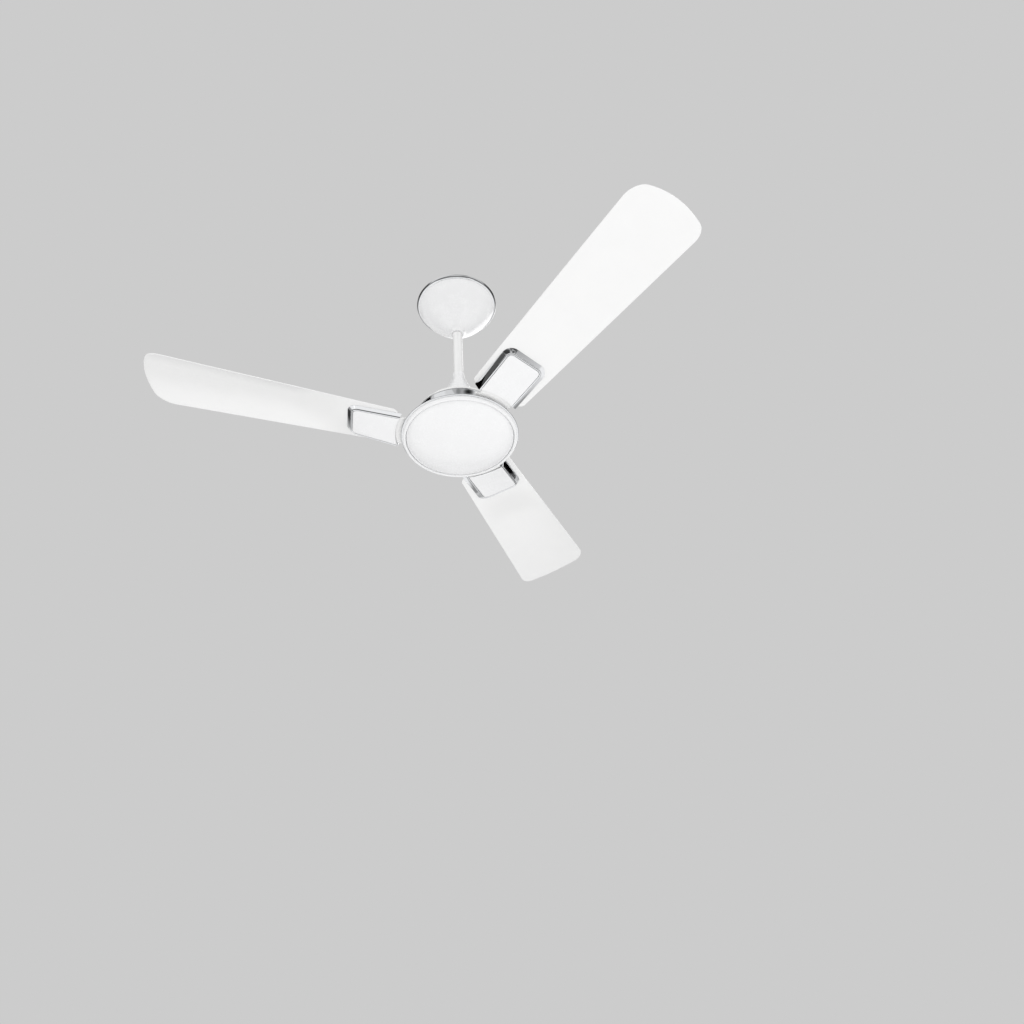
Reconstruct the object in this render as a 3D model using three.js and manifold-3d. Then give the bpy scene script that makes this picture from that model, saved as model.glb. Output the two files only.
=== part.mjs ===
// A three-blade ceiling fan on a down rod, hung from a ceiling hook by a rubber reel in a shackle.
// Millimetres and degrees, +Z up. The origin is the saddle of the reel, where the hook bears.
// The fan's axis is the Z axis. "Hub height" is measured up from the point where the centre
// lines of the three blades would meet the axis.

import * as THREE from "three";
import { mergeVertices } from "three/addons/utils/BufferGeometryUtils.js";
import Module from "manifold-3d";

const wasm = await Module();
wasm.setup();

// ---- Clearances -------------------------------------------------------------------------------

const GAP = 0.3; // between two pieces that touch
const SLIDE_GAP = 0.6; // round the rod, inside what slides along it
const AIR_GAP = 1; // between the stator and the rotor ring
const BELL_CLEARANCE = 3; // between the turning motor and the still bell above it
const LEAD_CLEARANCE = 0.8; // between the leads, which swing with the rod, and the terminal block
const OVERLAP = 1; // how far a cutting or joining shape runs past the face it meets

// ---- Rod, shackle and reel --------------------------------------------------------------------

const ROD_RADIUS = 10;
const ROD_BORE = 7.5; // radius of the rod's bore
const ROD_LENGTH = 273.7;
const HOOK_GAP = 19; // from the reel's saddle down to the top of the rod
const ROD_BOLT_INSET = 14; // from the top of the rod to the shackle bolt
const COUPLING_BOLT_INSET = 16; // from the foot of the rod to the coupling bolt
const LEAD_HOLE_INSET = 31; // from the top of the rod to the hole where the leads come out
const LEAD_HOLE_RADIUS = 5.6;

const REEL_GROOVE = 9; // radius at the bottom of the reel's groove
const REEL_FLANGE = 14; // radius of the reel's flanges
const REEL_GROOVE_HALF = 6.5; // half the width of the groove's floor
const REEL_FLANGE_EDGE = 9; // from the middle of the reel to where its flanges are full size
const SHACKLE_HALF_GAP = 13.5; // from the middle to the inner face of a shackle plate
const SHACKLE_PLATE = 3; // thickness of a shackle plate
const SHACKLE_WIDTH = 22;

const HANGER_BOLT = 4; // radius of the two bolts through the shackle
const COUPLING_BOLT = 3; // radius of the bolt through the coupling
const HEAD_RATIO = 1.65; // radius of a bolt head or nut, as a multiple of the bolt's
const HEAD_TALL_RATIO = 1.1; // height of a bolt head, as a multiple of the bolt's radius
const NUT_TALL_RATIO = 1.4; // height of a nut, as a multiple of the bolt's radius
const BOLT_TAIL = 5; // length of a bolt past its nut
const PIN_RADIUS = 0.9; // radius of a split pin

const BLOCK_SIZE = new THREE.Vector3(13, 22, 20); // terminal block
const CAPACITOR_SIZE = new THREE.Vector3(16, 34, 24);

// ---- Canopy against the ceiling ---------------------------------------------------------------

const CEILING_RISE = 3; // from the reel's saddle up to the canopy's rim
const CANOPY_DEPTH = 92;
const CANOPY_RADIUS = 79; // of the white bowl
const CANOPY_NECK = 13.5; // outer radius of the neck
const CANOPY_WALL = 2;
const CANOPY_RING_REACH = 4.5; // from the bowl out to the edge of the bright ring round its rim
const CANOPY_RING_HEIGHT = 7;
const CANOPY_RING_WALL = 1.2; // how far the bowl's rim steps in behind the ring
const CANOPY_SCREW_RISE = 5; // from the foot of the neck up to its set screw

// ---- Bell over the coupling -------------------------------------------------------------------

const BELL_HEIGHT = 100;
const BELL_RADIUS = 35; // at its foot
const BELL_TOP_RADIUS = 11.6;
const BELL_WALL = 1.7; // measured level
const BELL_SCREW_DROP = 11; // from the bell's top down to its set screw
const BELL_SCREW_SEAT = 0.6; // from the bell's top radius out to that screw's seat
const SET_SCREW = 1.9; // radius of the canopy's and the bell's set screws
const SET_SCREW_HEAD = 3.6;
const SET_SCREW_HEAD_HEIGHT = 3;

// ---- Motor, in hub heights --------------------------------------------------------------------

const RIM_TOP = 3; // of the bottom ring
const FLANGE_RISE = 10; // from there up to the flange of the lower housing
const FLANGE_THICKNESS = 3;
const FLANGE_MARGIN = 11; // from the arm screws out to the flange's edge
const FLANGE_FILLET = 1; // height of the flange's rounding at its edge
const FLANGE_BORE = 58; // where the flange drops to the floor round the bearing
const FLOOR_DROP = 4; // from the flange down to that floor
const FLOOR_SLOPE = 6; // width of the slope between them
const LOWER_DEPTH = 15.5; // from the flange's underside up to the rotor ring
const LOWER_EDGE = 4; // height of the lower housing's upright edge
const RING_HEIGHT = 21.5;
const RING_RADIUS = 82;
const RING_BORE = 64.5;
const BAND_RADIUS = 85; // of the bright band round the rotor ring
const SHAFT_RADIUS = 8.5;
const SHAFT_BORE = 5.5;
const SHAFT_EXIT_RISE = 4; // from the rotor ring up to the hole where the leads leave the shaft
const SHAFT_EXIT_RADIUS = 4.6;
const COUPLING_RISE = 11; // from the upper housing up to the coupling
const COUPLING_FLOOR = 8; // thickness of the coupling's floor, which holds the shaft
const COUPLING_DEPTH = 32; // of the socket that takes the rod
const COUPLING_WALL = 3.7;
const BEARING_RADIUS = 17.5;
const BEARING_HEIGHT = 11;
const BEARING_RACE = 3; // thickness of each race
const BEARING_SEAT_WALL = 3;
const BEARING_CAP = 2; // thickness of the upper housing over its bearing
const HOUSING_WALL = 3;
const HOUSING_RISE = 23; // from the rotor ring up to the top of the upper housing
const HOUSING_SHOULDER = 8; // rise of the upper housing's rounded shoulder
const SHOULDER_EDGE = 2; // height of the upright edge under that shoulder
const SHOULDER_INSET = 3.7; // how far the shoulder draws in
const CORE_INSET = 0.5; // from each end of the rotor ring to the stator core
const SLOT_COUNT = 12;
const SLOT_WIDTH = 7;
const SLOT_DEPTH = 22;
const WINDING_HEAD = 7; // height of the winding above and below the core
const WINDING_INNER = 36;
const WINDING_OUTER = 57;
const WINDING_LAP = 2; // how far the wire in the slots reaches into both heads

const HOUSING_SCREW_COUNT = 3;
const HOUSING_SCREW_PITCH = 73; // radius of the circle the housing screws stand on
const HOUSING_SCREW = 2.5;
const HOUSING_SCREW_HEAD = 4.5;
const HOUSING_SCREW_SEAT_RISE = 9; // from the rotor ring up to the seats of their heads
const HOUSING_SCREW_REACH = 6.5; // from the rotor ring down to their tips
const HOUSING_SCREW_HEAD_HEIGHT = 3;

// ---- Cover and rings under the motor, in hub heights ------------------------------------------

const RIM_RADIUS = 110; // of the white bottom ring
const RIM_DEPTH = 7;
const RIM_WIDTH = 6.5; // from the rim's outside to the groove round the dome
const RIM_STEP = 1; // from that groove out to the step that carries the bright band
const WEB_THICKNESS = 2.5;
const WEB_BORE = 60;
const RIM_BAND_REACH = 2.5; // from the rim's outside to the edge of the bright band above it
const RIM_BAND_HEIGHT = 2.7;
const RIM_BAND_CHAMFER = 1;
const DOME_DEPTH = 32; // from the web down to the lowest point of the dome
const DOME_WALL = 2;
const DOME_COLLAR = 2; // thickness of the collar that holds the dome
const DOME_COLLAR_DEPTH = 4;
const DOME_COLLAR_INSET = 5; // from the dome's edge in to that collar

// ---- Blades -----------------------------------------------------------------------------------

const BLADE_COUNT = 3;
const FIRST_BLADE = -48.7; // direction of the first blade, anticlockwise from +X
const SWEEP_RADIUS = 600;
const BLADE_RISE = 8.53; // of the centre line, outwards
const BLADE_PITCH = -10.83; // twist about the centre line
const BLADE_SHEET = 1.5;
const BLADE_ROOT_INSET = -2; // from the trim's curved inner end to the blade's
const BLADE_ROOT_SLANT = 0.13; // how much further out the root lies towards the trailing edge
const BLADE_CAMBER = 6;
const CAMBER_DELAY = 3.6; // from the trim's outer end to where the camber starts
const CAMBER_LENGTH = 114; // from there to where the blade has its whole camber
const LEAD_ROOT = 64.5; // from the centre line to the leading edge, at the root
const LEAD_TIP = 104.8; // and at the tip
const TRAIL_ROOT = 44.8; // from the centre line to the trailing edge, at the root
const TRAIL_TIP = 51.4; // and at the tip
const TIP_CROWN = 7.6; // how far the tip falls back,
const TIP_CROWN_HALF = 50; // this far across from its furthest point
const TIP_CENTRE = -9.9; // where across the blade that furthest point lies
const LEAD_CORNER = [24, 30]; // width and length of the rounded corners of the tip
const TRAIL_CORNER = [16, 22];
const ROOT_CORNER = [14, 10]; // and of the root

// ---- Blade arms -------------------------------------------------------------------------------

const ARM_THICKNESS = 3;
const ARM_SCREW_INSET = 26; // from the rim's outside in to the arm screw
const ARM_FOOT_LENGTH = 14; // from the arm screw in to the foot's inner end
const ARM_FOOT_HALF = 34; // half the width of the foot
const ARM_FOOT_TAPER = 0.6; // width of the foot's inner end, as a share of the foot's
const ARM_SPREAD = 20; // from the arm screw out to the arm's shoulders
const ARM_SHOULDER = 3; // how far they reach past the sides of the trim's face
const ARM_SHOULDER_LENGTH = 2.5;
const ARM_LEVEL = 34; // from the arm screw out to where the arm starts to twist
const ARM_TWIST = 26; // length of the twist, after which the arm lies along the blade
const ARM_SIDE_INSET = 5; // from the trim's side to the arm's edge inside it
const ARM_END_INSET = 12; // from the trim's outer end to the arm's end inside it
const ARM_CORNER = 10;
const ARM_SCREW = 2.5;
const ARM_SCREW_HEAD = 5;
const ARM_SCREW_HEAD_HEIGHT = 2.7;
const ARM_SCREW_TAP = 8; // depth of its thread above the flange
const ARM_BOSS = 8; // radius of the bottom ring's boss round the arm screw

const BLADE_SCREW_INSET = 43; // from the trim's curved inner end, along the centre line
const BLADE_SCREW_SPREAD = 25; // to each side of the trim's middle line
const BLADE_SCREW = 2.5;
const BLADE_SCREW_HEAD = 5;
const BLADE_SCREW_HEAD_HEIGHT = 2.8;

// ---- Trim plates under the blade roots --------------------------------------------------------

const TRIM_WIDTH = 79; // of its face
const TRIM_MIDDLE = -12; // from the centre line to the trim's middle
const TRIM_TURN = -3.4; // of the trim about its middle, in the plane of the blade
const TRIM_CLEARANCE = 12; // from the rim's outside to the trim's curved inner end
const TRIM_LENGTH = 88.4; // from there to the trim's outer edge
const TRIM_CORNER = 13;
const TRIM_FLARE = 7; // how far its walls lean out from the face up to the blade
const TRIM_DEPTH = 5.9; // from the blade's underside down to the crest along the trailing side
const TRIM_DROP_ROOT = 12.6; // how much lower the leading side lies, at the inner end
const TRIM_DROP_TIP = 2.4; // and at the outer end
const BEZEL_WIDTH = 4;
const BEZEL_ROUND = 2.6; // height of the rounded part of the bezel
const PANEL_THICKNESS = 1.6;
const PANEL_INSET = 0.4; // from the bezel's crest to the face of the panel
const PANEL_BOSS = 3;

// ---- Facets -----------------------------------------------------------------------------------

const ROUND_LARGE = 30; // sides of the large round pieces
const ROUND_MEDIUM = 20;
const ROUND_SMALL = 10;
const BALL_RINGS = 5;
const BLADE_ROWS = 8;
const BLADE_COLUMNS = 8;
const ARM_ROWS = 8;
const SPREAD_ROWS = 4;
const ARM_COLUMNS = 5;
const ARC_STEPS = 8;
const CORNER_STEPS = 4;
const LEAD_STEPS = 46;
const LEAD_SIDES = 4; // for each half turn

// ---- Derived places ---------------------------------------------------------------------------

const flangeUnderside = RIM_TOP + FLANGE_RISE;
const flangeTop = flangeUnderside + FLANGE_THICKNESS;
const floorUnderside = flangeUnderside - FLOOR_DROP;
const ringFoot = flangeUnderside + LOWER_DEPTH;
const ringTop = ringFoot + RING_HEIGHT;
const housingTop = ringTop + HOUSING_RISE;
const couplingFoot = housingTop + COUPLING_RISE;
const couplingFloorTop = couplingFoot + COUPLING_FLOOR;
const rodTop = -HOOK_GAP;
const rodFoot = rodTop - ROD_LENGTH;
const rodSeat = couplingFloorTop + GAP; // hub height of the foot of the rod
const hubZ = rodFoot - rodSeat;
const rodBoltZ = rodTop - ROD_BOLT_INSET;
const reelZ = REEL_GROOVE;
const boxZ = (reelZ + rodBoltZ) / 2; // of the middle of both boxes, between the two bolts
const canopyRimZ = CEILING_RISE;
const bellFoot = housingTop + BELL_CLEARANCE;
const bellNeck = BELL_TOP_RADIUS + BELL_SCREW_SEAT;
const couplingRadius = ROD_RADIUS + GAP + COUPLING_WALL;
const webUnderside = RIM_TOP + GAP / 2;
const webTop = webUnderside + WEB_THICKNESS;
const footTop = flangeUnderside - GAP;
const footUnderside = footTop - ARM_THICKNESS;
const domeRadius = RIM_RADIUS - RIM_WIDTH - GAP;
const domeCollar = domeRadius - DOME_COLLAR_INSET;
const rimStep = RIM_RADIUS - RIM_WIDTH + RIM_STEP;
const seatRadius = BEARING_RADIUS + GAP;
const raceBore = BEARING_RADIUS - BEARING_RACE;
const upperBearingFoot = housingTop - BEARING_CAP - BEARING_HEIGHT;
const lowerBearingFoot = floorUnderside + HOUSING_WALL;
const shaftExit = ringTop + SHAFT_EXIT_RISE;
const housingScrewSeat = ringTop + HOUSING_SCREW_SEAT_RISE;
const firstBlade = THREE.MathUtils.degToRad(FIRST_BLADE);
const screwTurn = firstBlade + Math.PI / BLADE_COUNT;
const armScrewPlace = RIM_RADIUS - ARM_SCREW_INSET;
const armRoot = armScrewPlace - ARM_FOOT_LENGTH;
const twistStart = armScrewPlace + ARM_LEVEL;
const twistEnd = twistStart + ARM_TWIST;
const shoulderPlace = armScrewPlace + ARM_SPREAD;
const flangeRadius = armScrewPlace + FLANGE_MARGIN;
const rise = THREE.MathUtils.degToRad(BLADE_RISE);
const pitch = THREE.MathUtils.degToRad(BLADE_PITCH);
const trimArc = RIM_RADIUS + TRIM_CLEARANCE;
const trimEnd = trimArc + TRIM_LENGTH;
const bladeRoot = trimArc + BLADE_ROOT_INSET;
const bladeTip = SWEEP_RADIUS / Math.cos(rise);
const bladeScrewPlace = trimArc + BLADE_SCREW_INSET;
const camberStart = trimEnd + CAMBER_DELAY;
const trimLow = TRIM_MIDDLE - TRIM_WIDTH / 2;
const trimHigh = TRIM_MIDDLE + TRIM_WIDTH / 2;
const trimCentre = new THREE.Vector2(trimArc + TRIM_LENGTH / 2, TRIM_MIDDLE);
const trimTurn = THREE.MathUtils.degToRad(TRIM_TURN);
const axisSeen = new THREE.Vector2().rotateAround(trimCentre, -trimTurn); // from the unturned trim
const padTop = -GAP; // of the arm's pad, measured from the blade's underside
const padUnderside = padTop - ARM_THICKNESS;

// ---- Materials --------------------------------------------------------------------------------

const finish = (color, roughness, metalness) =>
  new THREE.MeshStandardMaterial({ color, roughness, metalness });
const whiteEnamel = finish(0xf4f4f3, 0.25, 0);
const whitePlastic = finish(0xf3f3f4, 0.3, 0);
const chrome = finish(0xd8dadc, 0.08, 1);
const steel = finish(0xb4b6b8, 0.35, 1);
const zinc = finish(0xc2c4c2, 0.45, 1);
const castIron = finish(0x6d7073, 0.55, 0.8);
const copper = finish(0xb5672f, 0.35, 1);
const rubber = finish(0x202123, 0.8, 0);
const lead = finish(0xe9e9e6, 0.55, 0);
const blockPlastic = finish(0xe3e0d6, 0.5, 0);
const capacitorPlastic = finish(0x3a3d42, 0.45, 0);

// ---- Solids -----------------------------------------------------------------------------------

// The geometry with its vertices merged and its collapsed faces dropped.
function weld(geometry) {
  const bare = new THREE.BufferGeometry();
  const source = geometry.index ? geometry.toNonIndexed() : geometry;
  bare.setAttribute("position", source.getAttribute("position").clone());
  const merged = mergeVertices(bare, 1e-4);
  const kept = [];
  const index = merged.index.array;
  for (let i = 0; i < index.length; i += 3) {
    const [a, b, c] = [index[i], index[i + 1], index[i + 2]];
    if (a !== b && b !== c && c !== a) {
      kept.push(a, b, c);
    }
  }
  merged.setIndex(kept);
  return merged;
}

function toSolid(geometry) {
  const welded = weld(geometry);
  const vertProperties = new Float32Array(welded.getAttribute("position").array);
  const triVerts = new Uint32Array(welded.index.array);
  return new wasm.Manifold(new wasm.Mesh({ numProp: 3, vertProperties, triVerts }));
}

function toGeometry(solid) {
  const mesh = solid.getMesh();
  const geometry = new THREE.BufferGeometry();
  const position = new THREE.BufferAttribute(new Float32Array(mesh.vertProperties), 3);
  geometry.setAttribute("position", position);
  geometry.setIndex(Array.from(mesh.triVerts));
  return geometry;
}

function cut(geometry, ...tools) {
  return toGeometry(tools.reduce((whole, tool) => whole.subtract(toSolid(tool)), toSolid(geometry)));
}

function join(geometry, ...others) {
  return toGeometry(others.reduce((whole, other) => whole.add(toSolid(other)), toSolid(geometry)));
}

// A closed profile of [radius, height] points, turned about Z. Its points may run either way.
function turned(profile, sides) {
  let area = 0;
  profile.forEach(([r, z], i) => {
    const [nextR, nextZ] = profile[(i + 1) % profile.length];
    area += r * nextZ - nextR * z;
  });
  const outward = area > 0 ? profile : [...profile].reverse();
  const points = outward.map(([r, z]) => new THREE.Vector2(r, z));
  points.push(points[0].clone());
  return new THREE.LatheGeometry(points, sides).rotateX(Math.PI / 2);
}

function ringOf(inner, outer, low, high, sides) {
  return turned([[inner, low], [outer, low], [outer, high], [inner, high]], sides);
}

// A straight bar along X, Y or Z, of a radius, from one place on that axis to another.
function bar(axis, radius, from, to, sides = ROUND_SMALL) {
  const made = new THREE.CylinderGeometry(radius, radius, to - from, sides);
  made.translate(0, (from + to) / 2, 0);
  if (axis === "x") made.rotateZ(-Math.PI / 2);
  if (axis === "z") made.rotateX(Math.PI / 2);
  return made;
}

// Rings of points with equal counts, joined by side faces and closed at both ends.
function lofted(rings) {
  const positions = [];
  const faces = [];
  const count = rings[0].length;
  for (const point of rings.flat()) {
    positions.push(point.x, point.y, point.z);
  }
  for (let i = 0; i + 1 < rings.length; i += 1) {
    for (let j = 0; j < count; j += 1) {
      const a = i * count + j;
      const b = i * count + ((j + 1) % count);
      faces.push(a, b, b + count, a, b + count, a + count);
    }
  }
  for (const [ring, first, turn] of [
    [rings[0], 0, true],
    [rings[rings.length - 1], (rings.length - 1) * count, false],
  ]) {
    const middle = ring.reduce((sum, p) => sum.add(p), new THREE.Vector3()).divideScalar(count);
    const hub = positions.length / 3;
    positions.push(middle.x, middle.y, middle.z);
    for (let j = 0; j < count; j += 1) {
      const [a, b] = [first + j, first + ((j + 1) % count)];
      faces.push(...(turn ? [hub, b, a] : [hub, a, b]));
    }
  }
  const geometry = new THREE.BufferGeometry();
  geometry.setAttribute("position", new THREE.Float32BufferAttribute(positions, 3));
  geometry.setIndex(faces);
  return geometry;
}

const smooth = (t) => THREE.MathUtils.smoothstep(t, 0, 1);
const mix = THREE.MathUtils.lerp;

// The inside of a shell whose outside is a list of [radius, height] points: each point moves in
// by the wall, and stays at least the bore away from the axis.
function insideOf(outside, wall, bore) {
  return outside.map(([r, z], i) => {
    const [beforeR, beforeZ] = outside[Math.max(i - 1, 0)];
    const [afterR, afterZ] = outside[Math.min(i + 1, outside.length - 1)];
    const along = new THREE.Vector2(afterR - beforeR, afterZ - beforeZ).normalize();
    return [Math.max(r - wall * Math.abs(along.y), bore), z + wall * Math.abs(along.x)];
  });
}

const group = new THREE.Group();

function place(name, geometry, material, parent) {
  const mesh = new THREE.Mesh(geometry, material);
  mesh.name = name;
  parent.add(mesh);
  return mesh;
}

// ---- Bolts ------------------------------------------------------------------------------------

// A bolt along X with its nut and split pin, through pieces that reach "reach" to each side.
function boltSet(name, radius, reach, z, material, parent) {
  const headRadius = radius * HEAD_RATIO;
  const seat = reach + GAP;
  const nutEnd = seat + radius * NUT_TALL_RATIO;
  const tail = nutEnd + BOLT_TAIL;
  const pinPlace = -(nutEnd + BOLT_TAIL / 2);
  const pinReach = radius + 2 * PIN_RADIUS;
  const shank = bar("x", radius, -tail, seat + radius * HEAD_TALL_RATIO / 2);
  const head = bar("x", headRadius, seat, seat + radius * HEAD_TALL_RATIO, 6);
  const pinHole = bar("z", PIN_RADIUS + GAP, -pinReach, pinReach).translate(pinPlace, 0, 0);
  const nut = bar("x", headRadius, -nutEnd, -seat, 6);
  const nutBore = bar("x", radius + GAP, -nutEnd - OVERLAP, -seat + OVERLAP);
  const pin = bar("z", PIN_RADIUS, -pinReach, pinReach).translate(pinPlace, 0, 0);
  const eye = new THREE.SphereGeometry(2 * PIN_RADIUS, ROUND_SMALL, BALL_RINGS);
  eye.translate(pinPlace, 0, pinReach);
  place(`${name}_bolt`, cut(join(shank, head), pinHole), material, parent).position.z = z;
  place(`${name}_nut`, cut(nut, nutBore), material, parent).position.z = z;
  place(`${name}_split_pin`, join(pin, eye), steel, parent).position.z = z;
}

// ---- Shackle, reel and what they carry --------------------------------------------------------

function shacklePlate() {
  const half = SHACKLE_WIDTH / 2;
  const outline = new THREE.Shape();
  outline.absarc(0, reelZ, half, 0, Math.PI, false);
  outline.absarc(0, rodBoltZ, half, Math.PI, 2 * Math.PI, false);
  outline.closePath();
  for (const z of [reelZ, rodBoltZ]) {
    const hole = new THREE.Path();
    hole.absarc(0, z, HANGER_BOLT + GAP, 0, 2 * Math.PI, true);
    outline.holes.push(hole);
  }
  const options = { depth: SHACKLE_PLATE, bevelEnabled: false, curveSegments: ROUND_SMALL / 2 };
  const plate = new THREE.ExtrudeGeometry(outline, options);
  return plate.rotateX(Math.PI / 2).rotateZ(Math.PI / 2);
}

function hangerReel() {
  const half = SHACKLE_HALF_GAP - GAP;
  const profile = [
    [HANGER_BOLT + GAP, -half],
    [REEL_FLANGE, -half],
    [REEL_FLANGE, -REEL_FLANGE_EDGE],
    [REEL_GROOVE, -REEL_GROOVE_HALF],
    [REEL_GROOVE, REEL_GROOVE_HALF],
    [REEL_FLANGE, REEL_FLANGE_EDGE],
    [REEL_FLANGE, half],
    [HANGER_BOLT + GAP, half],
  ];
  return turned(profile, ROUND_MEDIUM).rotateY(Math.PI / 2);
}

function boxBeside(size, side) {
  const centre = side * (SHACKLE_HALF_GAP + SHACKLE_PLATE + GAP + size.x / 2);
  return new THREE.BoxGeometry(size.x, size.y, size.z).translate(centre, 0, boxZ);
}

function buildHanger(parent) {
  const outerFace = SHACKLE_HALF_GAP + SHACKLE_PLATE;
  place("shackle_plate_right", shacklePlate(), zinc, parent).position.x = SHACKLE_HALF_GAP;
  place("shackle_plate_left", shacklePlate(), zinc, parent).position.x = -outerFace;
  place("hanger_reel", hangerReel(), rubber, parent).position.z = reelZ;
  boltSet("reel", HANGER_BOLT, outerFace, reelZ, zinc, parent);
  boltSet("rod", HANGER_BOLT, outerFace, rodBoltZ, zinc, parent);
  place("terminal_block", boxBeside(BLOCK_SIZE, 1), blockPlastic, parent);
  place("capacitor", boxBeside(CAPACITOR_SIZE, -1), capacitorPlastic, parent);
}

// ---- Rod and coupling -------------------------------------------------------------------------

function downRod() {
  const tube = ringOf(ROD_BORE, ROD_RADIUS, rodFoot, rodTop, ROUND_MEDIUM);
  const across = 2 * ROD_RADIUS;
  const top = bar("x", HANGER_BOLT + GAP, -across, across).translate(0, 0, rodBoltZ);
  const foot = bar("x", COUPLING_BOLT + GAP, -across, across);
  foot.translate(0, 0, rodFoot + COUPLING_BOLT_INSET);
  const exit = bar("y", LEAD_HOLE_RADIUS, 0, across).translate(0, 0, rodTop - LEAD_HOLE_INSET);
  return cut(tube, top, foot, exit);
}

function shaftCoupling() {
  const socket = ROD_RADIUS + GAP;
  const rim = couplingFloorTop + COUPLING_DEPTH;
  const profile = [
    [SHAFT_RADIUS + GAP, couplingFoot],
    [couplingRadius, couplingFoot],
    [couplingRadius, rim],
    [socket, rim],
    [socket, couplingFloorTop],
    [SHAFT_RADIUS + GAP, couplingFloorTop],
  ];
  const across = 2 * couplingRadius;
  const hole = bar("x", COUPLING_BOLT + GAP, -across, across);
  hole.translate(0, 0, rodSeat + COUPLING_BOLT_INSET);
  return cut(turned(profile, ROUND_MEDIUM), hole);
}

function motorShaft() {
  const tube = ringOf(SHAFT_BORE, SHAFT_RADIUS, lowerBearingFoot, couplingFloorTop, ROUND_MEDIUM);
  const exit = bar("y", SHAFT_EXIT_RADIUS, 0, 2 * SHAFT_RADIUS).translate(0, 0, shaftExit);
  return cut(tube, exit);
}

// The leads share the rod's bore with the coupling bolt, so they are as thick as fits beside it.
function leadRadius() {
  return (ROD_BORE - COUPLING_BOLT) / 2 - 1.5 * GAP;
}

// From the terminal block down the rod and the shaft to the winding.
function leadWires() {
  const radius = leadRadius();
  const inRod = ROD_BORE - GAP - radius;
  const inShaft = SHAFT_BORE - GAP - radius;
  const exit = rodTop - LEAD_HOLE_INSET;
  const leadOut = hubZ + shaftExit;
  const outside = SHACKLE_WIDTH / 2 + radius + 4;
  const block = SHACKLE_HALF_GAP + SHACKLE_PLATE + GAP + BLOCK_SIZE.x / 2;
  const blockFoot = boxZ - BLOCK_SIZE.z / 2;
  const side = BLOCK_SIZE.y / 2 - 3;
  const points = [
    [block, side, blockFoot - LEAD_CLEARANCE],
    [block, side, blockFoot - 5],
    [block - 4, outside - 1, blockFoot - 12],
    [block - 13, outside + 1, blockFoot - 17],
    [3, outside, exit + 9],
    [0, ROD_RADIUS + 1, exit + 4],
    [0, mix(inRod, ROD_RADIUS, 0.5), exit],
    [0, inRod - 0.6, exit - 7],
    [0, inRod - 0.2, exit - 13],
    [0, inRod, exit - 24],
    [0, inRod, rodFoot / 2],
    [0, inRod, rodFoot + 19],
    [0, inRod, rodFoot + 13],
    [0, inShaft, rodFoot + 3],
    [0, inShaft - 0.2, rodFoot - 3],
    [0, inShaft - 0.4, leadOut + 16],
    [0, inShaft - 0.8, leadOut + 8],
    [0, inShaft, leadOut + 3.5],
    [0, inShaft + 2.6, leadOut + 0.4],
    [0, SHAFT_RADIUS + 2, leadOut],
    [0, SHAFT_RADIUS + 12, leadOut],
    [0, WINDING_INNER - GAP, leadOut],
  ];
  const places = points.map((p) => new THREE.Vector3(...p));
  const path = new THREE.CatmullRomCurve3(places, false, "centripetal");
  const section = new THREE.Shape();
  section.absarc(0, 0, radius, 0, 2 * Math.PI, false);
  const options = { steps: LEAD_STEPS, extrudePath: path, curveSegments: LEAD_SIDES };
  return new THREE.ExtrudeGeometry(section, options);
}

function statorCore() {
  const radius = RING_BORE - AIR_GAP;
  const [low, high] = [ringFoot + CORE_INSET, ringTop - CORE_INSET];
  const plate = ringOf(SHAFT_RADIUS + GAP, radius, low, high, ROUND_LARGE);
  return cut(plate, ...slotBars(0, ringFoot, ringTop, radius - SLOT_DEPTH, radius + OVERLAP));
}

// One upright bar for each slot of the stator, drawn in from the slot's walls.
function slotBars(inset, low, high, inner, outer) {
  return Array.from({ length: SLOT_COUNT }, (_, i) => {
    const made = new THREE.BoxGeometry(outer - inner, SLOT_WIDTH - 2 * inset, high - low);
    made.translate((outer + inner) / 2, 0, (high + low) / 2);
    return made.rotateZ((2 * Math.PI * i) / SLOT_COUNT);
  });
}

function statorWinding() {
  const low = ringFoot + CORE_INSET - GAP;
  const high = ringTop - CORE_INSET + GAP;
  const heads = [
    ringOf(WINDING_INNER, WINDING_OUTER, low - WINDING_HEAD, low, ROUND_MEDIUM),
    ringOf(WINDING_INNER, WINDING_OUTER, high, high + WINDING_HEAD, ROUND_MEDIUM),
  ];
  const inner = RING_BORE - AIR_GAP - SLOT_DEPTH + GAP;
  const outer = WINDING_OUTER - WINDING_LAP;
  return join(...heads, ...slotBars(GAP, low - WINDING_LAP, high + WINDING_LAP, inner, outer));
}

function innerRace(foot) {
  const inner = SHAFT_RADIUS + GAP;
  return ringOf(inner, inner + BEARING_RACE, foot + GAP, foot + BEARING_HEIGHT - GAP, ROUND_MEDIUM);
}

function outerRace(foot) {
  return ringOf(raceBore, BEARING_RADIUS, foot + GAP, foot + BEARING_HEIGHT - GAP, ROUND_MEDIUM);
}

function buildRod(parent, hub) {
  place("down_rod", downRod(), whiteEnamel, parent);
  place("lead_wires", leadWires(), lead, parent);
  place("shaft_coupling", shaftCoupling(), steel, hub);
  boltSet("coupling", COUPLING_BOLT, couplingRadius, rodSeat + COUPLING_BOLT_INSET, zinc, hub);
  place("motor_shaft", motorShaft(), steel, hub);
  place("stator_core", statorCore(), castIron, hub);
  place("stator_winding", statorWinding(), copper, hub);
  place("upper_bearing_inner_race", innerRace(upperBearingFoot), steel, hub);
  place("lower_bearing_inner_race", innerRace(lowerBearingFoot), steel, hub);
}

// ---- Canopy and bell --------------------------------------------------------------------------

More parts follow.
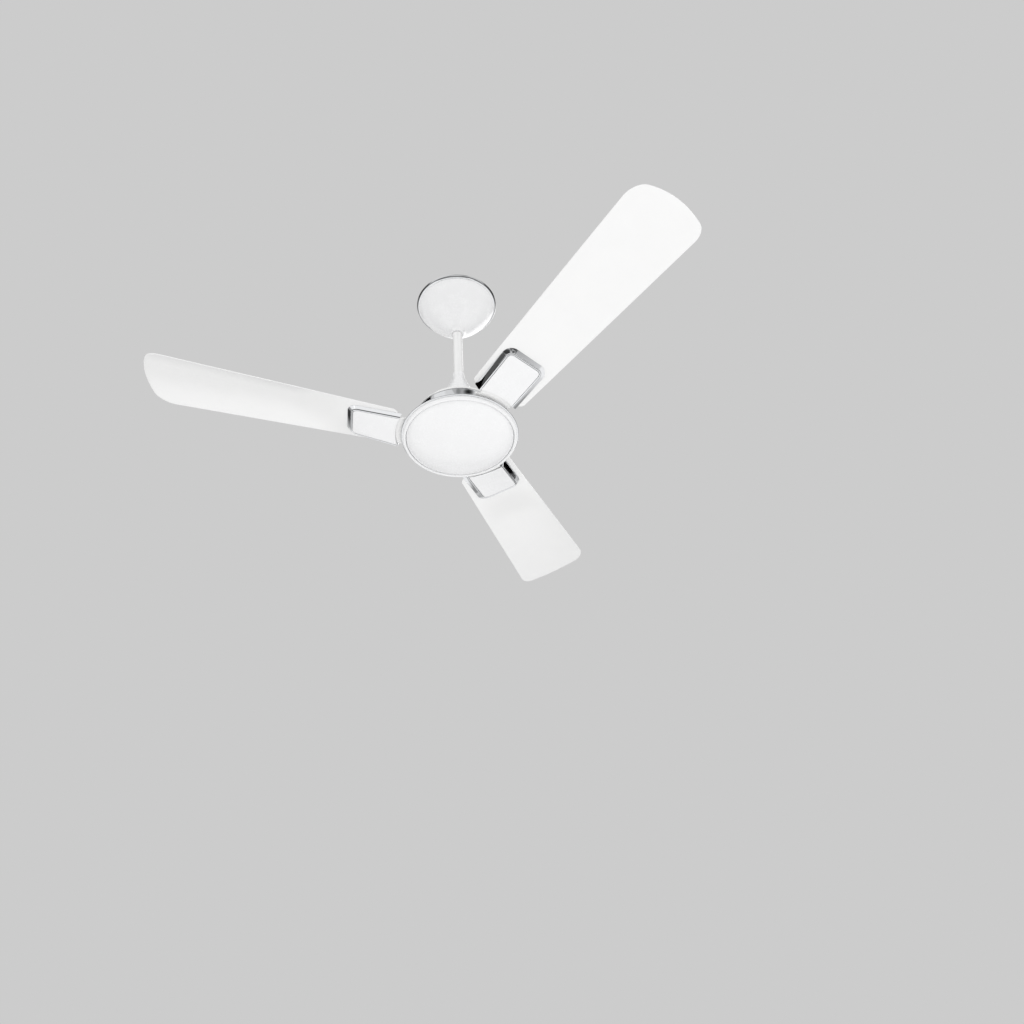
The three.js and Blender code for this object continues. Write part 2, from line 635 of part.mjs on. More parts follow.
// Radii as shares of the way from the neck to the rim, and depths as shares of the depth below
// the bright ring.
const CANOPY_SHARES = [
  [1, 0],
  [0.965, 0.048],
  [0.86, 0.188],
  [0.72, 0.34],
  [0.55, 0.491],
  [0.36, 0.643],
  [0.18, 0.765],
  [0.07, 0.845],
  [0.02, 0.905],
  [0, 1],
];

function canopyOutside() {
  return CANOPY_SHARES.map(([share, depth]) => [
    mix(CANOPY_NECK, CANOPY_RADIUS, share),
    canopyRimZ - mix(CANOPY_RING_HEIGHT, CANOPY_DEPTH, depth),
  ]);
}

// A radial set screw at +Y, its tip just off the rod.
function setScrew(surface) {
  const shank = bar("y", SET_SCREW, ROD_RADIUS + GAP, surface + SET_SCREW_HEAD_HEIGHT / 2);
  const head = bar("y", SET_SCREW_HEAD, surface + GAP, surface + GAP + SET_SCREW_HEAD_HEIGHT);
  return join(shank, head);
}

const setScrewHole = () => bar("y", SET_SCREW + GAP, 0, 3 * ROD_RADIUS);
const setScrewSeat = (surface) => bar("y", SET_SCREW_HEAD + GAP, surface, 4 * ROD_RADIUS);

function canopyShell() {
  const bore = ROD_RADIUS + SLIDE_GAP;
  const outside = canopyOutside();
  const inside = insideOf(outside, CANOPY_WALL, bore);
  const rimRadius = CANOPY_RADIUS - CANOPY_RING_WALL;
  const rimTop = canopyRimZ - 2 * GAP;
  const neckFoot = canopyRimZ - CANOPY_DEPTH;
  inside[inside.length - 1] = [bore, neckFoot];
  const profile = [
    [rimRadius - CANOPY_WALL, rimTop],
    [rimRadius, rimTop],
    [rimRadius, canopyRimZ - CANOPY_RING_HEIGHT],
    ...outside,
    ...inside.reverse(),
  ];
  const z = neckFoot + CANOPY_SCREW_RISE;
  const tools = [setScrewHole(), setScrewSeat(CANOPY_NECK)].map((tool) => tool.translate(0, 0, z));
  return cut(turned(profile, ROUND_LARGE), ...tools);
}

// The ring's rounded outside, as shares of its reach past the bowl and of its height.
const CANOPY_RING_SHARES = [
  [0.07, 0],
  [0.45, 0.1],
  [0.8, 0.36],
  [1, 0.72],
];

function canopyRing() {
  const inner = CANOPY_RADIUS - CANOPY_RING_WALL + GAP;
  const foot = canopyRimZ - CANOPY_RING_HEIGHT + GAP;
  const tall = CANOPY_RING_HEIGHT - GAP;
  const profile = [
    [inner, foot],
    ...CANOPY_RING_SHARES.map(([out, up]) => [
      CANOPY_RADIUS + out * CANOPY_RING_REACH,
      foot + up * tall,
    ]),
    [CANOPY_RADIUS + CANOPY_RING_REACH, canopyRimZ],
    [inner, canopyRimZ],
  ];
  return turned(profile, ROUND_LARGE);
}

function buildCanopy(parent) {
  const screwZ = canopyRimZ - CANOPY_DEPTH + CANOPY_SCREW_RISE;
  place("canopy_shell", canopyShell(), whitePlastic, parent);
  place("canopy_ring", canopyRing(), chrome, parent);
  place("canopy_screw", setScrew(CANOPY_NECK), zinc, parent).position.z = screwZ;
}

// Radii as shares of the way from the top to the foot, and heights as shares of the height.
const BELL_SHARES = [
  [1, 0],
  [0.957, 0.12],
  [0.85, 0.28],
  [0.68, 0.45],
  [0.444, 0.61],
  [0.18, 0.77],
  [0.05, 0.89],
  [0, 1],
];

function bellCover() {
  const bore = ROD_RADIUS + SLIDE_GAP;
  const outside = BELL_SHARES.map(([share, height]) => [
    mix(BELL_TOP_RADIUS, BELL_RADIUS, share),
    bellFoot + height * BELL_HEIGHT,
  ]).reverse();
  const inside = outside.map(([r, z]) => [Math.max(r - BELL_WALL, bore), z]).reverse();
  const z = bellFoot + BELL_HEIGHT - BELL_SCREW_DROP;
  const tools = [setScrewHole(), setScrewSeat(bellNeck)].map((tool) => tool.translate(0, 0, z));
  return cut(turned([...outside, ...inside], ROUND_MEDIUM), ...tools);
}

function buildBell(hub) {
  const screwZ = bellFoot + BELL_HEIGHT - BELL_SCREW_DROP;
  place("bell_cover", bellCover(), whitePlastic, hub);
  place("bell_screw", setScrew(bellNeck), zinc, hub).position.z = screwZ;
}

// ---- Motor housings ---------------------------------------------------------------------------

function aroundAxis(count, make, radius, turn = 0) {
  return Array.from({ length: count }, (_, i) =>
    make().translate(radius, 0, 0).rotateZ((2 * Math.PI * i) / count + turn),
  );
}

// The roof's outside, as shares of the way out from the bearing seat and down from the hub's top.
const ROOF_SHARES = [
  [0.84, 0.7],
  [0.66, 0.48],
  [0.39, 0.23],
];
const UNDER_ROOF_SHARES = [0.62, 0.48];

function upperHousing() {
  const foot = ringTop + GAP;
  const edge = BAND_RADIUS - GAP;
  const shoulder = foot + HOUSING_SHOULDER;
  const onRoof = ([out, down]) => [mix(seatRadius, edge, out), mix(housingTop, shoulder, down)];
  const [underRadius, underHeight] = onRoof(UNDER_ROOF_SHARES);
  const outside = [
    [edge, foot],
    [edge, foot + SHOULDER_EDGE],
    [edge - SHOULDER_INSET, shoulder],
    ...ROOF_SHARES.map(onRoof),
    [seatRadius + BEARING_SEAT_WALL, housingTop],
    [raceBore, housingTop],
  ];
  const capTop = upperBearingFoot + BEARING_HEIGHT;
  const inside = [
    [raceBore, capTop],
    [seatRadius, capTop],
    [seatRadius, upperBearingFoot],
    [seatRadius + BEARING_SEAT_WALL, upperBearingFoot],
    [seatRadius + BEARING_SEAT_WALL, housingTop - HOUSING_WALL],
    [underRadius, underHeight - HOUSING_WALL],
    [RING_BORE, foot],
  ];
  const head = HOUSING_SCREW_HEAD + GAP;
  const holes = aroundAxis(
    HOUSING_SCREW_COUNT,
    () => bar("z", HOUSING_SCREW + GAP, foot - OVERLAP, housingTop),
    HOUSING_SCREW_PITCH,
    screwTurn,
  );
  const seats = aroundAxis(
    HOUSING_SCREW_COUNT,
    () => bar("z", head, housingScrewSeat, housingTop),
    HOUSING_SCREW_PITCH,
    screwTurn,
  );
  return cut(turned([...outside, ...inside], ROUND_LARGE), ...holes, ...seats);
}

function lowerHousing() {
  const top = ringFoot - GAP;
  const edge = BAND_RADIUS - GAP;
  const floorTop = floorUnderside + HOUSING_WALL;
  const ledge = top - HOUSING_WALL;
  const wall = edge - HOUSING_WALL;
  const slopeTop = FLANGE_BORE - HOUSING_WALL / 2;
  const seatTop = lowerBearingFoot + BEARING_HEIGHT;
  const profile = [
    [edge, top],
    [edge, top - LOWER_EDGE],
    [flangeRadius, flangeTop + FLANGE_FILLET],
    [flangeRadius, flangeUnderside],
    [FLANGE_BORE, flangeUnderside],
    [FLANGE_BORE - FLOOR_SLOPE, floorUnderside],
    [raceBore, floorUnderside],
    [raceBore, floorTop],
    [seatRadius, floorTop],
    [seatRadius, seatTop],
    [seatRadius + BEARING_SEAT_WALL, seatTop],
    [seatRadius + BEARING_SEAT_WALL, floorTop],
    [slopeTop - FLOOR_SLOPE, floorTop],
    [slopeTop, flangeTop],
    [wall, flangeTop],
    [wall, ledge],
    [RING_BORE, ledge],
    [RING_BORE, top],
  ];
  const holes = aroundAxis(
    HOUSING_SCREW_COUNT,
    () => bar("z", HOUSING_SCREW + GAP, ledge - OVERLAP, top + OVERLAP),
    HOUSING_SCREW_PITCH,
    screwTurn,
  );
  const armHoles = aroundAxis(
    BLADE_COUNT,
    () => bar("z", ARM_SCREW + GAP, flangeUnderside - OVERLAP, flangeTop + ARM_SCREW_TAP),
    armScrewPlace,
    firstBlade,
  );
  return cut(turned(profile, ROUND_LARGE), ...holes, ...armHoles);
}

function rotorRing() {
  const holes = aroundAxis(
    HOUSING_SCREW_COUNT,
    () => bar("z", HOUSING_SCREW + GAP, ringFoot - OVERLAP, ringTop + OVERLAP),
    HOUSING_SCREW_PITCH,
    screwTurn,
  );
  return cut(ringOf(RING_BORE, RING_RADIUS, ringFoot, ringTop, ROUND_LARGE), ...holes);
}

function housingScrew() {
  const seat = housingScrewSeat + GAP;
  const shank = bar("z", HOUSING_SCREW, ringFoot - HOUSING_SCREW_REACH, seat + OVERLAP);
  const head = bar("z", HOUSING_SCREW_HEAD, seat, seat + HOUSING_SCREW_HEAD_HEIGHT);
  return join(shank, head);
}

function buildMotor(hub) {
  place("upper_housing", upperHousing(), whiteEnamel, hub);
  place("lower_housing", lowerHousing(), whiteEnamel, hub);
  place("rotor_ring", rotorRing(), castIron, hub);
  const band = ringOf(RING_RADIUS + GAP, BAND_RADIUS, ringFoot, ringTop, ROUND_LARGE);
  place("motor_band", band, chrome, hub);
  place("upper_bearing_outer_race", outerRace(upperBearingFoot), steel, hub);
  place("lower_bearing_outer_race", outerRace(lowerBearingFoot), steel, hub);
  for (let i = 1; i <= HOUSING_SCREW_COUNT; i += 1) {
    const turn = screwTurn + (2 * Math.PI * (i - 1)) / HOUSING_SCREW_COUNT;
    const screw = place(`housing_screw_${i}`, housingScrew(), zinc, hub);
    screw.position.set(HOUSING_SCREW_PITCH * Math.cos(turn), HOUSING_SCREW_PITCH * Math.sin(turn), 0);
  }
}

// ---- Rings and dome under the motor -----------------------------------------------------------

// The rim's rounded lip, as shares of its width out from the groove and of its depth up.
const RIM_SHARES = [
  [0, 0.21],
  [0.3, 0],
  [0.7, 0.11],
  [1, 0.57],
];

function bottomRing() {
  const groove = RIM_RADIUS - RIM_WIDTH;
  const foot = RIM_TOP - RIM_DEPTH;
  const collarFoot = webUnderside - DOME_COLLAR_DEPTH;
  const profile = [
    [WEB_BORE, webUnderside],
    [domeCollar - DOME_COLLAR, webUnderside],
    [domeCollar - DOME_COLLAR, collarFoot],
    [domeCollar, collarFoot],
    [domeCollar, webUnderside],
    [groove, webUnderside],
    ...RIM_SHARES.map(([out, up]) => [groove + out * RIM_WIDTH, foot + up * RIM_DEPTH]),
    [RIM_RADIUS, RIM_TOP],
    [rimStep, RIM_TOP],
    [rimStep, webTop],
    [WEB_BORE, webTop],
  ];
  const bosses = aroundAxis(
    BLADE_COUNT,
    () => bar("z", ARM_BOSS, mix(webUnderside, webTop, 0.5), footUnderside - GAP),
    armScrewPlace,
    firstBlade,
  );
  const holes = aroundAxis(
    BLADE_COUNT,
    () => bar("z", ARM_SCREW + GAP, webUnderside - OVERLAP, footUnderside),
    armScrewPlace,
    firstBlade,
  );
  return cut(join(turned(profile, ROUND_LARGE), ...bosses), ...holes);
}

function rimBand() {
  const inner = rimStep + GAP;
  const outer = RIM_RADIUS + RIM_BAND_REACH;
  const foot = RIM_TOP + GAP;
  const top = foot + RIM_BAND_HEIGHT;
  const profile = [
    [inner, foot],
    [RIM_RADIUS, foot],
    [outer, mix(foot, top, 0.45)],
    [outer, mix(foot, top, 0.8)],
    [outer - RIM_BAND_CHAMFER, top],
    [inner + RIM_BAND_CHAMFER, top],
    [inner, top - RIM_BAND_CHAMFER],
  ];
  return turned(profile, ROUND_LARGE);
}

const DOME_LIP_SHARE = 0.15; // depth of the dome's thick lip, as a share of the dome's depth

// The dome's outside, as shares of its radius and of its depth below the web.
const DOME_SHARES = [
  [1, 0.07],
  [0.985, 0.17],
  [0.9, 0.37],
  [0.76, 0.57],
  [0.585, 0.745],
  [0.39, 0.885],
  [0.195, 0.97],
  [0, 1],
];

function domeCover() {
  const top = webUnderside - GAP;
  const outside = DOME_SHARES.map(([share, depth]) => [
    share * domeRadius,
    webUnderside - depth * DOME_DEPTH,
  ]);
  const inside = insideOf(outside, DOME_WALL, 0).slice(2).reverse();
  const spigot = domeCollar + GAP;
  const lip = [spigot, webUnderside - DOME_LIP_SHARE * DOME_DEPTH];
  return turned([[domeRadius, top], ...outside, ...inside, lip, [spigot, top]], ROUND_LARGE);
}

function buildBottom(hub) {
  place("bottom_ring", bottomRing(), whitePlastic, hub);
  place("rim_band", rimBand(), chrome, hub);
  place("dome_cover", domeCover(), whitePlastic, hub);
}

// ---- Blades, arms and trims -------------------------------------------------------------------

// How far an edge with a rounded corner falls back, "reach" mm from the blade's side.
function cornerCut(reach, [width, length]) {
  const inside = Math.min(Math.max((width - reach) / width, 0), 1);
  return length * (1 - Math.sqrt(1 - inside * inside));
}

function edgesAt(x) {
  const t = (x - bladeRoot) / (bladeTip - bladeRoot);
  return [-mix(LEAD_ROOT, LEAD_TIP, t), mix(TRAIL_ROOT, TRAIL_TIP, t)];
}

// A point of the blade's underside, "t" of the way along it and "s" of the way across it.
function bladePoint(t, s) {
  const [lowTip, highTip] = edgesAt(bladeTip);
  const [lowRoot, highRoot] = edgesAt(bladeRoot);
  const yTip = mix(lowTip, highTip, s);
  const yRoot = mix(lowRoot, highRoot, s);
  const tipCut =
    TIP_CROWN * ((yTip - TIP_CENTRE) / TIP_CROWN_HALF) ** 2 +
    cornerCut(yTip - lowTip, LEAD_CORNER) +
    cornerCut(highTip - yTip, TRAIL_CORNER);
  const rootCut = cornerCut(yRoot - lowRoot, ROOT_CORNER) + cornerCut(highRoot - yRoot, ROOT_CORNER);
  const root = bladeRoot + rootCut + BLADE_ROOT_SLANT * yRoot;
  const x = mix(root, bladeTip - tipCut, t);
  const [low, high] = edgesAt(x);
  const ramp = smooth((x - camberStart) / CAMBER_LENGTH);
  const across = 2 * s - 1;
  return new THREE.Vector3(x, mix(low, high, s), BLADE_CAMBER * ramp * (1 - across * across));
}

function blade() {
  const columns = Array.from({ length: BLADE_COLUMNS + 1 }, (_, j) => {
    return (1 - Math.cos((Math.PI * j) / BLADE_COLUMNS)) / 2;
  });
  const rows = Array.from({ length: BLADE_ROWS + 1 }, (_, i) => i / BLADE_ROWS);
  const width = columns.length;
  const layer = rows.length * width;
  const positions = [];
  for (const lift of [0, BLADE_SHEET]) {
    for (const t of rows) {
      for (const s of columns) {
        const p = bladePoint(t, s);
        positions.push(p.x, p.y, p.z + lift);
      }
    }
  }
  const faces = [];
  const quad = (a, b, c, d) => faces.push(a, b, c, a, c, d);
  for (let i = 0; i < BLADE_ROWS; i += 1) {
    for (let j = 0; j < BLADE_COLUMNS; j += 1) {
      const a = i * width + j;
      quad(a, a + 1, a + width + 1, a + width);
      quad(layer + a, layer + a + width, layer + a + width + 1, layer + a + 1);
    }
    const low = i * width;
    const high = low + BLADE_COLUMNS;
    quad(low, low + width, low + width + layer, low + layer);
    quad(high, high + layer, high + width + layer, high + width);
  }
  for (let j = 0; j < BLADE_COLUMNS; j += 1) {
    const tip = BLADE_ROWS * width + j;
    quad(j, j + layer, j + 1 + layer, j + 1);
    quad(tip, tip + 1, tip + 1 + layer, tip + layer);
  }
  const geometry = new THREE.BufferGeometry();
  geometry.setAttribute("position", new THREE.Float32BufferAttribute(positions, 3));
  geometry.setIndex(faces);
  return cut(geometry, ...bladeScrewHoles());
}

function bladeScrewPlaces() {
  return [-1, 1].map((side) => [bladeScrewPlace, TRIM_MIDDLE + side * BLADE_SCREW_SPREAD]);
}

function bladeScrewHoles() {
  const reach = 4 * BLADE_SCREW;
  return bladeScrewPlaces().map(([x, y]) =>
    bar("z", BLADE_SCREW + GAP, -reach, reach).translate(x, y, 0),
  );
}

const bladeFrame = new THREE.Matrix4()
  .makeRotationY(-rise)
  .multiply(new THREE.Matrix4().makeRotationX(pitch));

// Edges of the arm at a distance from the axis: [low side, high side].
function armEdges(x) {
  const middle = TRIM_MIDDLE + (x - trimCentre.x) * Math.tan(trimTurn);
  const inward = smooth((x - shoulderPlace) / ARM_SHOULDER_LENGTH);
  const half = TRIM_WIDTH / 2 + mix(ARM_SHOULDER, -ARM_SIDE_INSET, inward);
  const foot = mix(ARM_FOOT_TAPER, 1, smooth((x - armRoot) / ARM_FOOT_LENGTH)) * ARM_FOOT_HALF;
  const t = smooth((x - armScrewPlace) / ARM_SPREAD);
  const corner = cornerCut(trimEnd - ARM_END_INSET - x, [ARM_CORNER, ARM_CORNER]);
  return [mix(-foot, middle - half, t) + corner, mix(foot, middle + half, t) - corner];
}

const evenly = (from, to, count) => Array.from({ length: count }, (_, i) => mix(from, to, i / count));

function bladeArm() {
  const end = trimEnd - ARM_END_INSET;
  const bendEnd = twistEnd + 0.1 * ARM_TWIST;
  const stations = [
    armRoot,
    mix(armRoot, armScrewPlace, 0.4),
    ...evenly(armScrewPlace, shoulderPlace, SPREAD_ROWS),
    shoulderPlace,
    ...evenly(shoulderPlace + ARM_SHOULDER_LENGTH, bendEnd, ARM_ROWS),
    bendEnd,
    end - ARM_CORNER,
    end - 0.5 * ARM_CORNER,
    end - 0.2 * ARM_CORNER,
    end - 0.02 * ARM_CORNER,
  ];
  const shares = Array.from({ length: ARM_COLUMNS + 1 }, (_, j) => j / ARM_COLUMNS);
  const rings = stations.map((x) => {
    const [low, high] = armEdges(x);
    const at = (share, w) => {
      const y = mix(low, high, share);
      const t = smooth((Math.hypot(x, y) - twistStart) / ARM_TWIST);
      const foot = new THREE.Vector3(x, y, footTop + w);
      const pad = new THREE.Vector3(x, y, padTop + w).applyMatrix4(bladeFrame);
      return foot.lerp(pad, t);
    };
    const under = shares.map((share) => at(share, -ARM_THICKNESS));
    const over = shares.map((share) => at(share, 0));
    return [...under, ...over.reverse()];
  });
  const hole = bar("z", ARM_SCREW + GAP, footUnderside - OVERLAP, footTop + OVERLAP);
  hole.translate(armScrewPlace, 0, 0);
  const padHoles = bladeScrewHoles().map((tool) => tool.applyMatrix4(bladeFrame));
  return cut(lofted(rings), hole, ...padHoles);
}

function armScrew() {
  const seat = webUnderside - GAP;
  const shank = bar("z", ARM_SCREW, seat - OVERLAP, flangeTop);
  const head = bar("z", ARM_SCREW_HEAD, seat - ARM_SCREW_HEAD_HEIGHT, seat);
  return join(shank, head).translate(armScrewPlace, 0, 0);
}

function bladeScrew() {
  const seat = BLADE_SHEET + GAP;
  const shank = bar("z", BLADE_SCREW, padUnderside, seat + OVERLAP);
  const head = bar("z", BLADE_SCREW_HEAD, seat, seat + BLADE_SCREW_HEAD_HEIGHT);
  return join(shank, head);
}

// Where a line at "y" across the unturned trim meets the trim's curved inner end.
function innerEnd(y) {
  return axisSeen.x + Math.sqrt(trimArc ** 2 - (y - axisSeen.y) ** 2) / Math.cos(rise);
}

// How far the trim's underside lies below its trailing side.
function trimDrop(x, y) {
  const along = (x - trimArc) / TRIM_LENGTH;
  return ((trimHigh - y) / TRIM_WIDTH) * mix(TRIM_DROP_ROOT, TRIM_DROP_TIP, along);
}

// A point of the unturned trim, "up" above its crest, as it lies under the blade.
function crestPoint(x, y, up) {
  const turned = new THREE.Vector2(x, y).rotateAround(trimCentre, trimTurn);
  return new THREE.Vector3(turned.x, turned.y, up - TRIM_DEPTH - trimDrop(x, y));
}

// The trim's outline moved in by an inset: two rounded outer corners, seen as points.
function trimCorners(inset) {
  const radius = TRIM_CORNER - inset;
  const x = trimEnd - TRIM_CORNER;
  const centres = [
    [trimLow + inset + radius, -Math.PI / 2],
    [trimHigh - inset - radius, 0],
  ];
  return centres.flatMap(([y, start]) =>
    Array.from({ length: CORNER_STEPS + 1 }, (_, i) => {
      const angle = start + (Math.PI / 2) * (i / CORNER_STEPS);
      return [x + radius * Math.cos(angle), y + radius * Math.sin(angle)];
    }),
  );
}

// The bezel's crest, as shares of its width in from the edge and of its height above the crest.
const BEZEL_SHARES = [
  [0, 1],
  [0.18, 0.3],
  [0.46, 0],
  [0.8, 0.2],
  [1, 0.8],
];

// The frame's walls reach up to the blade's underside, round the arm.
function trimFrame() {
  const outlineAt = (inset) => {
    const low = trimLow + inset;
    const high = trimHigh - inset;
    return [[innerEnd(low), low], ...trimCorners(inset), [innerEnd(high), high]];
  };
  const lines = BEZEL_SHARES.map(([share, up]) =>
    outlineAt(share * BEZEL_WIDTH).map(([x, y]) => crestPoint(x, y, up * BEZEL_ROUND)),
  );
  const tops = [outlineAt(-TRIM_FLARE), outlineAt(BEZEL_WIDTH)].map((outline) =>
    outline.map(([x, y]) => crestPoint(x, y, 0).setZ(-GAP)),
  );
  const rings = lines[0].map((_, i) => [tops[0], ...lines, tops[1]].map((line) => line[i]));
  return lofted(rings);
}

function trimPanel() {
  const corners = trimCorners(BEZEL_WIDTH + GAP);
  const [low, high] = [corners[CORNER_STEPS], corners[CORNER_STEPS + 1]];
  const between = evenly(0, 1, ARC_STEPS).map((t) => [low[0], mix(low[1], high[1], t)]);
  const outerEnds = [...corners.slice(0, CORNER_STEPS), ...between, ...corners.slice(CORNER_STEPS + 1)];
  const back = PANEL_INSET + PANEL_THICKNESS;
  const rings = outerEnds.map(([x, y]) => {
    const root = innerEnd(y);
    return [
      crestPoint(root, y, back),
      crestPoint(x, y, back),
      crestPoint(x, y, PANEL_INSET),
      crestPoint(root, y, PANEL_INSET),
    ];
  });
  const bosses = [-1, 1].map((side) => {
    const x = bladeScrewPlace + side * BLADE_SCREW_SPREAD / 2;
    const foot = crestPoint(x, TRIM_MIDDLE, PANEL_INSET + PANEL_THICKNESS / 2);
    return bar("z", PANEL_BOSS, foot.z, padUnderside - GAP).translate(foot.x, foot.y, 0);
  });
  return join(lofted(rings), ...bosses);
}

function buildBlade(number, hub) {
  const spin = new THREE.Group();
  spin.rotation.z = firstBlade + (2 * Math.PI * (number - 1)) / BLADE_COUNT;
  hub.add(spin);
  const tilt = new THREE.Group();
  tilt.rotation.y = -rise;
  spin.add(tilt);
  const lie = new THREE.Group();
  lie.rotation.x = pitch;
  tilt.add(lie);
  place(`blade_arm_${number}`, bladeArm(), whiteEnamel, spin);
  place(`arm_screw_${number}`, armScrew(), zinc, spin);
  place(`blade_${number}`, blade(), whiteEnamel, lie);
  place(`trim_frame_${number}`, trimFrame(), chrome, lie);
  place(`trim_panel_${number}`, trimPanel(), whitePlastic, lie);
  bladeScrewPlaces().forEach(([x, y], i) => {
    const screw = place(`blade_screw_${number}_${i + 1}`, bladeScrew(), zinc, lie);
    screw.position.set(x, y, 0);
  });
}

// ---- Assembly ---------------------------------------------------------------------------------

const hub = new THREE.Group();
hub.position.z = hubZ;
group.add(hub);
buildHanger(group);
buildRod(group, hub);
buildCanopy(group);
buildBell(hub);
buildMotor(hub);
buildBottom(hub);
for (let number = 1; number <= BLADE_COUNT; number += 1) {
  buildBlade(number, hub);
}

export default group;
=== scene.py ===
"""A white three-blade ceiling fan with bright trim, hung in a plain studio and seen from below.

Lengths are metres in the part's own frame: +Z up, with the origin on the saddle of the hanger's
reel. Heights of the motor and the blades count from the hub, the point where the centre lines of
the blades would meet the fan's axis.
"""

import logging
import math
from dataclasses import dataclass, field
from enum import Enum
from typing import Callable, Iterable, Sequence

import bpy
from mathutils import Matrix, Vector


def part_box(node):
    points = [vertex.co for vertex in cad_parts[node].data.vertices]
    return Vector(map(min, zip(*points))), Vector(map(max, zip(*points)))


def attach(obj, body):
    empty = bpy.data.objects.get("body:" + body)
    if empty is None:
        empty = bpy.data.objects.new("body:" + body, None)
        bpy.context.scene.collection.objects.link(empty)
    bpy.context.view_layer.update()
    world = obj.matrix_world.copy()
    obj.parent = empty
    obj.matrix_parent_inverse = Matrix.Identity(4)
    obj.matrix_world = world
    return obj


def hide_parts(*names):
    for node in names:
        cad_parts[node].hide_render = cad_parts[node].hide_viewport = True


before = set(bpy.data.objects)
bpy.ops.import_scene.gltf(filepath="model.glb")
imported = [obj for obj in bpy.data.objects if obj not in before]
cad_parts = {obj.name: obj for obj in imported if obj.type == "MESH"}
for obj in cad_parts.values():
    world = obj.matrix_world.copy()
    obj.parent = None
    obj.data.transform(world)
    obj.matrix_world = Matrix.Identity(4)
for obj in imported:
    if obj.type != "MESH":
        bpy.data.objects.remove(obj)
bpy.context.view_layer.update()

logger = logging.getLogger("ceiling_fan")

MM = 0.001
SIDES_LARGE = 160
SIDES_MEDIUM = 72
SIDES_HOLE = 40
SIDES_SMALL = 28
SMOOTH_ANGLE = math.radians(35)
WELD = 0.002 * MM

Point = tuple[float, float]
Place = tuple[float, float, float]
Color = tuple[float, float, float]
Object = bpy.types.Object


class Body(Enum):
    """The rigid bodies of the fan."""

    SHACKLE = "shackle"
    ROD = "rod"
    CANOPY = "canopy"
    BELL = "bell"
    ROTOR = "rotor"


class Slot(Enum):
    """The material slots of the record."""

    ENAMEL = "white_enamel"
    MOULDING = "white_plastic"
    CHROME = "chrome_trim"
    STEEL = "steel"
    ZINC = "zinc_plate"
    IRON = "stator_iron"
    COPPER = "copper_wire"
    RUBBER = "rubber"
    SLEEVE = "lead_sleeve"
    TERMINAL = "terminal_plastic"
    CAPACITOR = "capacitor_plastic"


class Grain(Enum):
    """How the fine relief of a surface runs."""

    PEEL = "soft dimples of a sprayed or moulded skin"
    TURNED = "fine rings round Z, from a lathe"
    DRAWN = "fine lines along Z, from drawing or brushing"
    LAMINATED = "flat sheets stacked along Z"
    WOUND = "strands of wire side by side"
    CRYSTAL = "the crystal patches of zinc"


# ---- Shader trees ------------------------------------------------------------------------------


class Value:
    """A number that runs through a node tree; arithmetic on it adds Math nodes."""

    def __init__(self, tree: "ShaderTree", socket: bpy.types.NodeSocket) -> None:
        """Wraps one output socket.

        Args:
            tree: the tree that the socket belongs to.
            socket: the output socket.
        """
        self.tree = tree
        self.socket = socket

    def __add__(self, other: "Value | float") -> "Value":
        """Sum."""
        return self.tree.math("ADD", self, other)

    def __radd__(self, other: float) -> "Value":
        """Sum, from a number on the left."""
        return self.tree.math("ADD", other, self)

    def __sub__(self, other: "Value | float") -> "Value":
        """Difference."""
        return self.tree.math("SUBTRACT", self, other)

    def __rsub__(self, other: float) -> "Value":
        """Difference, from a number on the left."""
        return self.tree.math("SUBTRACT", other, self)

    def __mul__(self, other: "Value | float") -> "Value":
        """Product."""
        return self.tree.math("MULTIPLY", self, other)

    def __rmul__(self, other: float) -> "Value":
        """Product, from a number on the left."""
        return self.tree.math("MULTIPLY", other, self)

    def power(self, exponent: float) -> "Value":
        """The value to a power."""
        return self.tree.math("POWER", self, exponent)

    def sine(self) -> "Value":
        """The sine of the value in radians."""
        return self.tree.math("SINE", self, 0.0)

    def clamped(self) -> "Value":
        """The value kept between 0 and 1."""
        low = self.tree.math("MAXIMUM", self, 0.0)
        return self.tree.math("MINIMUM", low, 1.0)


